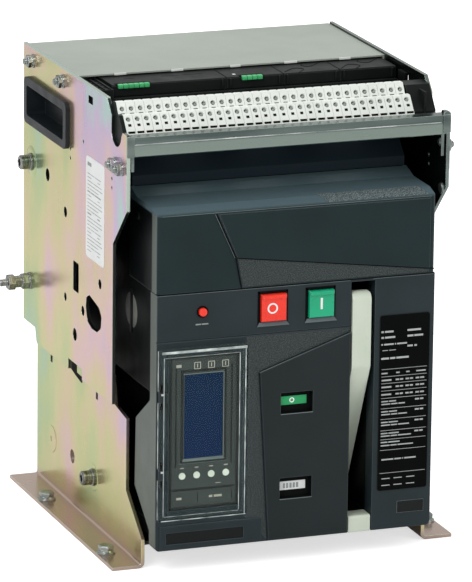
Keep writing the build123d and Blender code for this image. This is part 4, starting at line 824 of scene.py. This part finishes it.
# Push buttons: glossy moulded caps, red and green, each with a round finger ridge along the top and its
# plain symbol inlaid in white. The reset button is a small red cap.
button_red = sheen_finish("button_red", "#ff3a26", "#f3321f", 0.28, scale=30.0, grain=0.003, rim=0.6, edge="#ff9a86")
button_green = sheen_finish("button_green", "#10b383", "#0ea678", 0.28, scale=30.0, grain=0.003, rim=0.6,
                            edge="#7fdcb9")
symbol_white = sheen_finish("symbol_white", "#ffffff", "#f2f2f0", 0.4, grain=0.002, rim=0.05)
dress(button_red, "off_button", "reset_button")
dress(button_green, "on_button")
for name, middle, finish, body, slot_name in (("off_ridge", -20.9, button_red, "off_cap", "button_red"),
                                              ("on_ridge", 20.9, button_green, "on_cap", "button_green")):
    block_piece(name, [((middle - 10.6, -25.2, 228.6), (middle + 10.6, -23.6, 231.7), 0.7, 3)], finish, body)
ring_symbol = bmesh.new()
turned(ring_symbol, at(-22.4, -23.9, 220.4), (0, -1, 0),
       ((3.2, 0.0), (3.2, 0.3), (4.5, 0.3), (4.5, 0.0), (3.2, 0.0)), 40)
piece(ring_symbol, "off_symbol", symbol_white, "off_cap")
block_piece("on_symbol", [((19.5, -24.3, 216.2), (21.4, -23.9, 225.8), 0.1)], symbol_white, "on_cap")

# Indicator windows: dark pockets in the middle panel with a lit lower edge. A green flag with a white ring
# shows in the upper one and a white counter strip in the lower one.
window_left, window_right, window_back, window_front = -13.4, 14.6, -17.5, -22.3
window_blocks, edge_blocks = [], []
for low in (55.8, 129.0):
    window_blocks += [((window_left, -17.9, low + 0.1), (window_right, window_back, low + 17.9)),
                      ((14.3, window_front, low + 0.1), (14.65, window_back, low + 17.9)),
                      ((window_left, window_front, low + 0.05), (window_right, window_back, low + 0.35)),
                      ((window_left, window_front, low + 17.6), (window_right, window_back, low + 17.95))]
    edge_blocks.append(((window_left, -22.5, low - 0.7), (15.0, window_front, low - 0.1), 0.08))
block_piece("indicator_frames", window_blocks, seam_black_and_painted_shade, "breaker")
block_piece("window_edges", edge_blocks, edge_light, "breaker")
flag_green = sheen_finish("flag_green", "#15a862", "#109656", 0.35, scale=60.0, grain=0.002, rim=0.2, edge="#4fcf90")
dress(symbol_white, "indicator_flags")
for name, low, finish in (("state_flag", 135.5, flag_green), ("counter_strip", 62.3, label_paper)):
    block_piece(name, [((-13.2, -18.9, low), (10.4, -18.1, low + 7.4), 0.2)], finish, "breaker")
flag_ring = bmesh.new()
turned(flag_ring, at(-2.6, -18.85, 139.4), (0, -1, 0), ((1.3, 0.0), (1.3, 0.2), (2.2, 0.2), (2.2, 0.0), (1.3, 0.0)), 24)
piece(flag_ring, "flag_ring", symbol_white, "breaker")
block_piece("counter_windows", [((-9.4 + step * 2.9, -19.1, 63.9), (-7.5 + step * 2.9, -18.9, 68.1))
                                for step in range(5)], print_grey, "breaker")


# Charging handle and its rest: pale grey-green polyamide, matt, in two close tones in soft patches.
pale_handle = sheen_finish("pale_handle", "#d6dfce", "#cbd5c3", 0.45, scale=22.0, grain=0.015, fine=1500.0, rim=0.9,
                           edge="#eff4ea")
dress(pale_handle, "charging_handle", "handle_rest")
dress(seam_black_and_painted_shade, "hinge_pins")

# Controller: grey-brown moulded face under the clear cover, with a thin raised frame, a blue display in a
# chamfered bezel, three outlined symbols, four white keys and a split lower strip.
controller_grey = sheen_finish("controller_grey", "#3f4543", "#393f3d", 0.5, scale=30.0, grain=0.01, rim=0.4,
                               edge="#646d6a", specular=0.25)
dress(controller_grey, "controller_unit")
key_paint = sheen_finish("key_paint", "#dfe4d6", "#d3d8ca", 0.4, scale=60.0, grain=0.002, rim=0.2)
dress(key_paint, "controller_keys")


def display_finish():
    finish, nodes, links, shader = start_finish("display_blue")
    base = blend_colours(nodes, links, span_mask(nodes, links, "Z", 97.5, 169.2), "#0b2448", "#0d2642")
    links.new(base, shader.inputs["Base Color"])
    links.new(spread_value(nodes, links, patches_in(nodes, 50.0, detail=3.0), 0.12, 0.2), shader.inputs["Roughness"])
    shader.inputs["Specular IOR Level"].default_value = 0.12
    return finish


dress(display_finish(), "controller_display")
frame_blocks = [((left, -20.1, bottom), (right, -19.2, top), 0.2) for left, bottom, right, top in (
    (-109.6, 54.8, -107.6, 184.6), (-51.6, 54.8, -49.6, 184.6), (-109.6, 182.8, -49.6, 184.8),
    (-109.6, 54.6, -49.6, 56.6))]
frame_blocks += [((-104.6, -19.9, 90.8), (-103.4, -19.2, 175.6), 0.2),
                 ((-56.2, -19.9, 90.8), (-55.0, -19.2, 175.6), 0.2),
                 ((-107.6, -19.8, 71.0), (-51.6, -19.3, 71.9), 0.2)]
frame_dark = sheen_finish("frame_dark", "#262b2a", "#1f2423", 0.45, scale=30.0, grain=0.01, rim=0.25, edge="#5b6361",
                          specular=0.2)
block_piece("controller_frame", frame_blocks, frame_dark, "breaker")
bezel_mesh = bmesh.new()
bezel = bmesh.ops.create_grid(bezel_mesh, x_segments=1, y_segments=1, size=0.5, matrix=Matrix.Translation(
    at(-79.9, -19.5, 133.35)) @ Matrix.Rotation(math.radians(90.0), 4, "X") @ Matrix.Diagonal((0.04, 0.08, 1.0, 1.0)))
bezel_faces = list({face for vert in bezel["verts"] for face in vert.link_faces})
for width, depth in ((0.0006, 0.0005), (0.0026, -0.0009)):
    bmesh.ops.inset_region(bezel_mesh, faces=bezel_faces, thickness=width, depth=depth, use_even_offset=True,
                           use_boundary=True)
bmesh.ops.delete(bezel_mesh, geom=bezel_faces, context="FACES")
bmesh.ops.solidify(bezel_mesh, geom=bezel_mesh.faces[:], thickness=0.0002)
piece(bezel_mesh, "display_bezel", frame_dark, "breaker")
print_face = -19.4
# Painted highlights on the screen's upper, lower and right edges and on the bezel's lower chamfer.
screen_painted_highlights = bmesh.new()
for left, bottom, right, top in ((-97.5, 96.9, -62.5, 97.4), (-97.5, 169.2, -62.5, 169.7), (-62.8, 97.2, -62.3, 169.4)):
    block(screen_painted_highlights, (left, -19.75, bottom), (right, -19.5, top))
plate_on_front(screen_painted_highlights, ((-100.9, 93.2), (-59.1, 93.2), (-62.6, 96.7), (-97.4, 96.7)), print_face, 0.2)
piece(screen_painted_highlights, "screen_painted_highlights", edge_light, "breaker")
print_beige = sheen_finish("print_beige", "#b9b6a8", "#a8a598", 0.5, grain=0.001, rim=0.05)
bars = [(middle + left, bottom, middle + right, top) for middle in (-85.6, -73.5, -61.3)
        for left, bottom, right, top in (
            (-2.7, 173.2, 2.7, 173.8), (-2.7, 178.6, 2.7, 179.2), (-2.9, 173.6, -2.3, 178.8),
            (2.3, 173.6, 2.9, 178.8), (-0.4, 174.6, 0.4, 177.8))]
bars += [(-104.0, 175.6, -99.6, 178.0)] + [(middle - 1.6, 89.2, middle + 1.6, 90.0) for middle in (
    -98.3, -85.6, -72.9, -60.1)]
bars += [(-69.0, 74.4, -64.4, 74.9)] + [(left, 62.7, right, 64.6) for left, right in (
    (-103.0, -98.6), (-74.6, -71.6), (-70.3, -63.4))]
block_piece("controller_print", [((left, -19.55, bottom), (right, print_face, top))
                                 for left, bottom, right, top in bars], print_beige, "breaker")
groove_line("controller_seams", [
    [(left, print_face, bottom), (right, print_face, top)] for left, bottom, right, top in (
        (-84.4, 60.0, -84.4, 68.0), (-54.5, 60.0, -54.5, 68.0), (-106.0, 70.4, -53.0, 70.4))],
            0.25, seam_black_and_painted_shade, "breaker")


# Controller cover: a clear acrylic lid, moulded thin, with a thicker rim, hinged on its left and latched on
# its right. Its rims gather light into pale lines.
def clear_finish():
    finish, nodes, links, shader = start_finish("clear_acrylic")
    finish_surface(nodes, links, shader, "#f6fbf9", 0.8, "#ffffff", (patches_in(nodes, 40.0, detail=3.0), 0.02, 0.06))
    shader.inputs["IOR"].default_value = 1.12
    shader.inputs["Transmission Weight"].default_value = 1.0
    leave = nodes["Material Output"]
    eye, clear, choose = nodes.new("ShaderNodeLightPath"), nodes.new("ShaderNodeBsdfTransparent"), nodes.new(
        "ShaderNodeMixShader")
    links.new(eye.outputs["Is Shadow Ray"], choose.inputs[0])
    links.new(shader.outputs[0], choose.inputs[1])
    links.new(clear.outputs[0], choose.inputs[2])
    links.new(choose.outputs[0], leave.inputs["Surface"])
    return finish


clear_acrylic = clear_finish()
dress(clear_acrylic, "controller_cover")
rim_white = sheen_finish("rim_white", "#e9eeec", "#5c6463", 0.3, scale=90.0, grain=0.005, rim=0.1)
rim_blocks = [((left, -27.95, bottom), (right, -27.75, top), 0.05) for left, bottom, right, top in (
    (-119.2, 190.0, -45.4, 192.1), (-116.6, 186.6, -52.4, 186.9), (-46.9, 48.6, -46.1, 190.4),
    (-51.9, 52.6, -51.4, 186.8), (-117.6, 52.0, -117.1, 187.0), (-119.2, 47.9, -45.4, 48.6),
    (-116.6, 51.8, -52.0, 52.1))]
rim_blocks += [((-120.55, -21.8, low), (-120.2, -21.2, high)) for low, high in (
    (48.0, 81.8), (91.8, 147.8), (157.8, 191.6))]
block_piece("lid_rim_lights", rim_blocks, rim_white, "controller_lid")
block_piece("knuckle_lights", [((-119.2, -26.75, height), (-116.8, -26.3, height + 1.6), 0.1)
                               for height in (155.0, 89.0)], rim_white, "breaker")

# Nameplate: a thin black satin plate with a ruled table. The lines of print are short plain bars.
nameplate_black = sheen_finish("nameplate_black", "#0a0b0b", "#070808", 0.35, scale=30.0, grain=0.003, rim=0.3,
                               edge="#3a3f41", specular=0.04)
dress(nameplate_black, "nameplate")
print_white = sheen_finish("print_white", "#b9bdbc", "#a4a9a8", 0.5, grain=0.001, rim=0.05)
lines = [(75.6, height, 116.0, height + 0.35) for height in (
    158.7, 152.4, 146.5, 140.2, 133.8, 124.9, 115.7, 105.9, 98.1, 88.9, 69.0)]
word_rows = [(190.3, 1.6, ((74.8, 77.0), (77.9, 85.6), (98.0, 110.0))),
             (185.4, 1.6, ((74.9, 77.2), (78.1, 87.2), (98.1, 103.4), (104.2, 112.0))),
             (179.6, 1.3, ((75.0, 76.4), (77.4, 86.0), (87.0, 88.0), (89.0, 97.8))),
             (176.9, 1.5, ((98.2, 103.0), (104.4, 106.6))), (174.9, 0.5, ((76.0, 81.0), (82.0, 88.0))),
             (167.4, 1.6, ((75.1, 82.0), (83.0, 87.6), (88.6, 99.6))),
             (154.9, 1.1, ((75.6, 81.0), (88.6, 91.8), (97.6, 100.6), (106.6, 115.0))),
             (80.3, 1.2, ((77.0, 87.6), (88.6, 94.6), (95.6, 96.4), (97.4, 107.6)))]
word_rows += [(height, 1.3, ((75.8, 84.6), (88.4, 91.4), (92.2, 95.0), (97.2, 100.2), (101.0, 103.8), (106.2, 109.4),
                             (110.2, 113.8))) for height in (148.8, 142.9, 136.5)]
word_rows += [(height, 1.0, ((76.0, 82.0), (82.8, 89.0 + turn)))
              for turn, height in enumerate((130.7, 121.9, 112.7, 103.1, 95.4))]
word_rows += [(height, 1.0, ((76.1, 84.0), (84.8, 90.4), (91.2, 97.0 + turn * 2.0)))
              for turn, height in enumerate((128.3, 119.4, 110.2, 100.8, 92.6))]
word_rows += [(height, 1.3, ((106.0, 109.6), (110.4, 113.4))) for height in (130.5, 121.7, 112.5, 103.0)]
lines += [(left, height, right, height + tall) for height, tall, words in word_rows for left, right in words]
lines += [(left, bottom, left + 7.4, bottom + 0.7) for left in (77.4, 88.2, 99.4) for bottom in (58.2, 64.0)]
block_piece("nameplate_print", [((left, -21.35, bottom), (right, -21.2, top)) for left, bottom, right, top in lines],
            print_white, "breaker")
block_piece("reset_caption", [((left, -20.55, 210.6), (right, front_face, 211.7)) for left, right in (
    (-88.0, -83.2), (-82.6, -77.0))], print_grey, "breaker")

# Lower front details: the dark recess of the lower left panel, and the small glossy tag at the lower right with a fine
# painted highlight round it.
gloss_black = sheen_finish("gloss_black", "#0e1213", "#0a0d0e", 0.22, scale=30.0, grain=0.003, rim=0.2, specular=0.25)
low_mesh = bmesh.new()
plate_on_front(low_mesh, ((-111.9, 25.8), (-44.9, 25.8), (-44.9, 34.8), (-111.9, 34.8)), front_face, 0.25)
plate_on_front(low_mesh, ((91.9, 33.6), (115.3, 33.6), (115.3, 43.4), (91.9, 43.4)), -20.9, 0.2)
piece(low_mesh, "lower_insets", gloss_black, "breaker")
groove_line("tag_painted_highlight", [[(x, -21.0, z) for x, z in (
    (91.8, 33.5), (115.4, 33.5), (115.4, 43.5), (91.8, 43.5), (91.8, 33.5))]], 0.15, edge_light, "breaker")

# Breaker side: a pale moulded disc behind a dark rib shows through the waist of the side plate, with a
# panhead screw in the hood's flank.
disc_mesh = bmesh.new()
flank_mesh = bmesh.new()
for side in (-1.0, 1.0):
    turned(disc_mesh, at(side * 118.0, 47.8, 208.8), (side, 0, 0),
           ((0.0, 0.0), (15.2, 0.0), (15.2, 1.4), (14.4, 1.9), (0.0, 1.9)), 40)
    block(flank_mesh, (side * 120.0 - 1.0, 43.2, 190.0), (side * 120.0 + 1.0, 47.6, 228.0), 0.4)
    turned(flank_mesh, at(side * 121.4, 26.3, 294.3), (side, 0, 0),
           ((0.0, 0.0), (3.6, 0.0), (3.2, 1.2), (0.0, 1.6)), 24)
disc_grey = sheen_finish("disc_grey", "#7b7d77", "#6d6f68", 0.5, scale=60.0, grain=0.01, rim=0.5, specular=0.2)
piece(disc_mesh, "side_discs", disc_grey, "breaker")
piece(flank_mesh, "flank_ribs", case_black_painted_shade, "breaker")

# Terminals and jaws: silver-plated copper bars at the back and the sprung jaws that grip their blades.
silver_copper = bright_zinc_finish("silvered_copper", "#b9a890", "#d9d2c3", (1.0, 0.15, 1.0), 0.3)
dress(silver_copper, "lower_terminals", "upper_terminals", "lower_jaws", "upper_jaws")
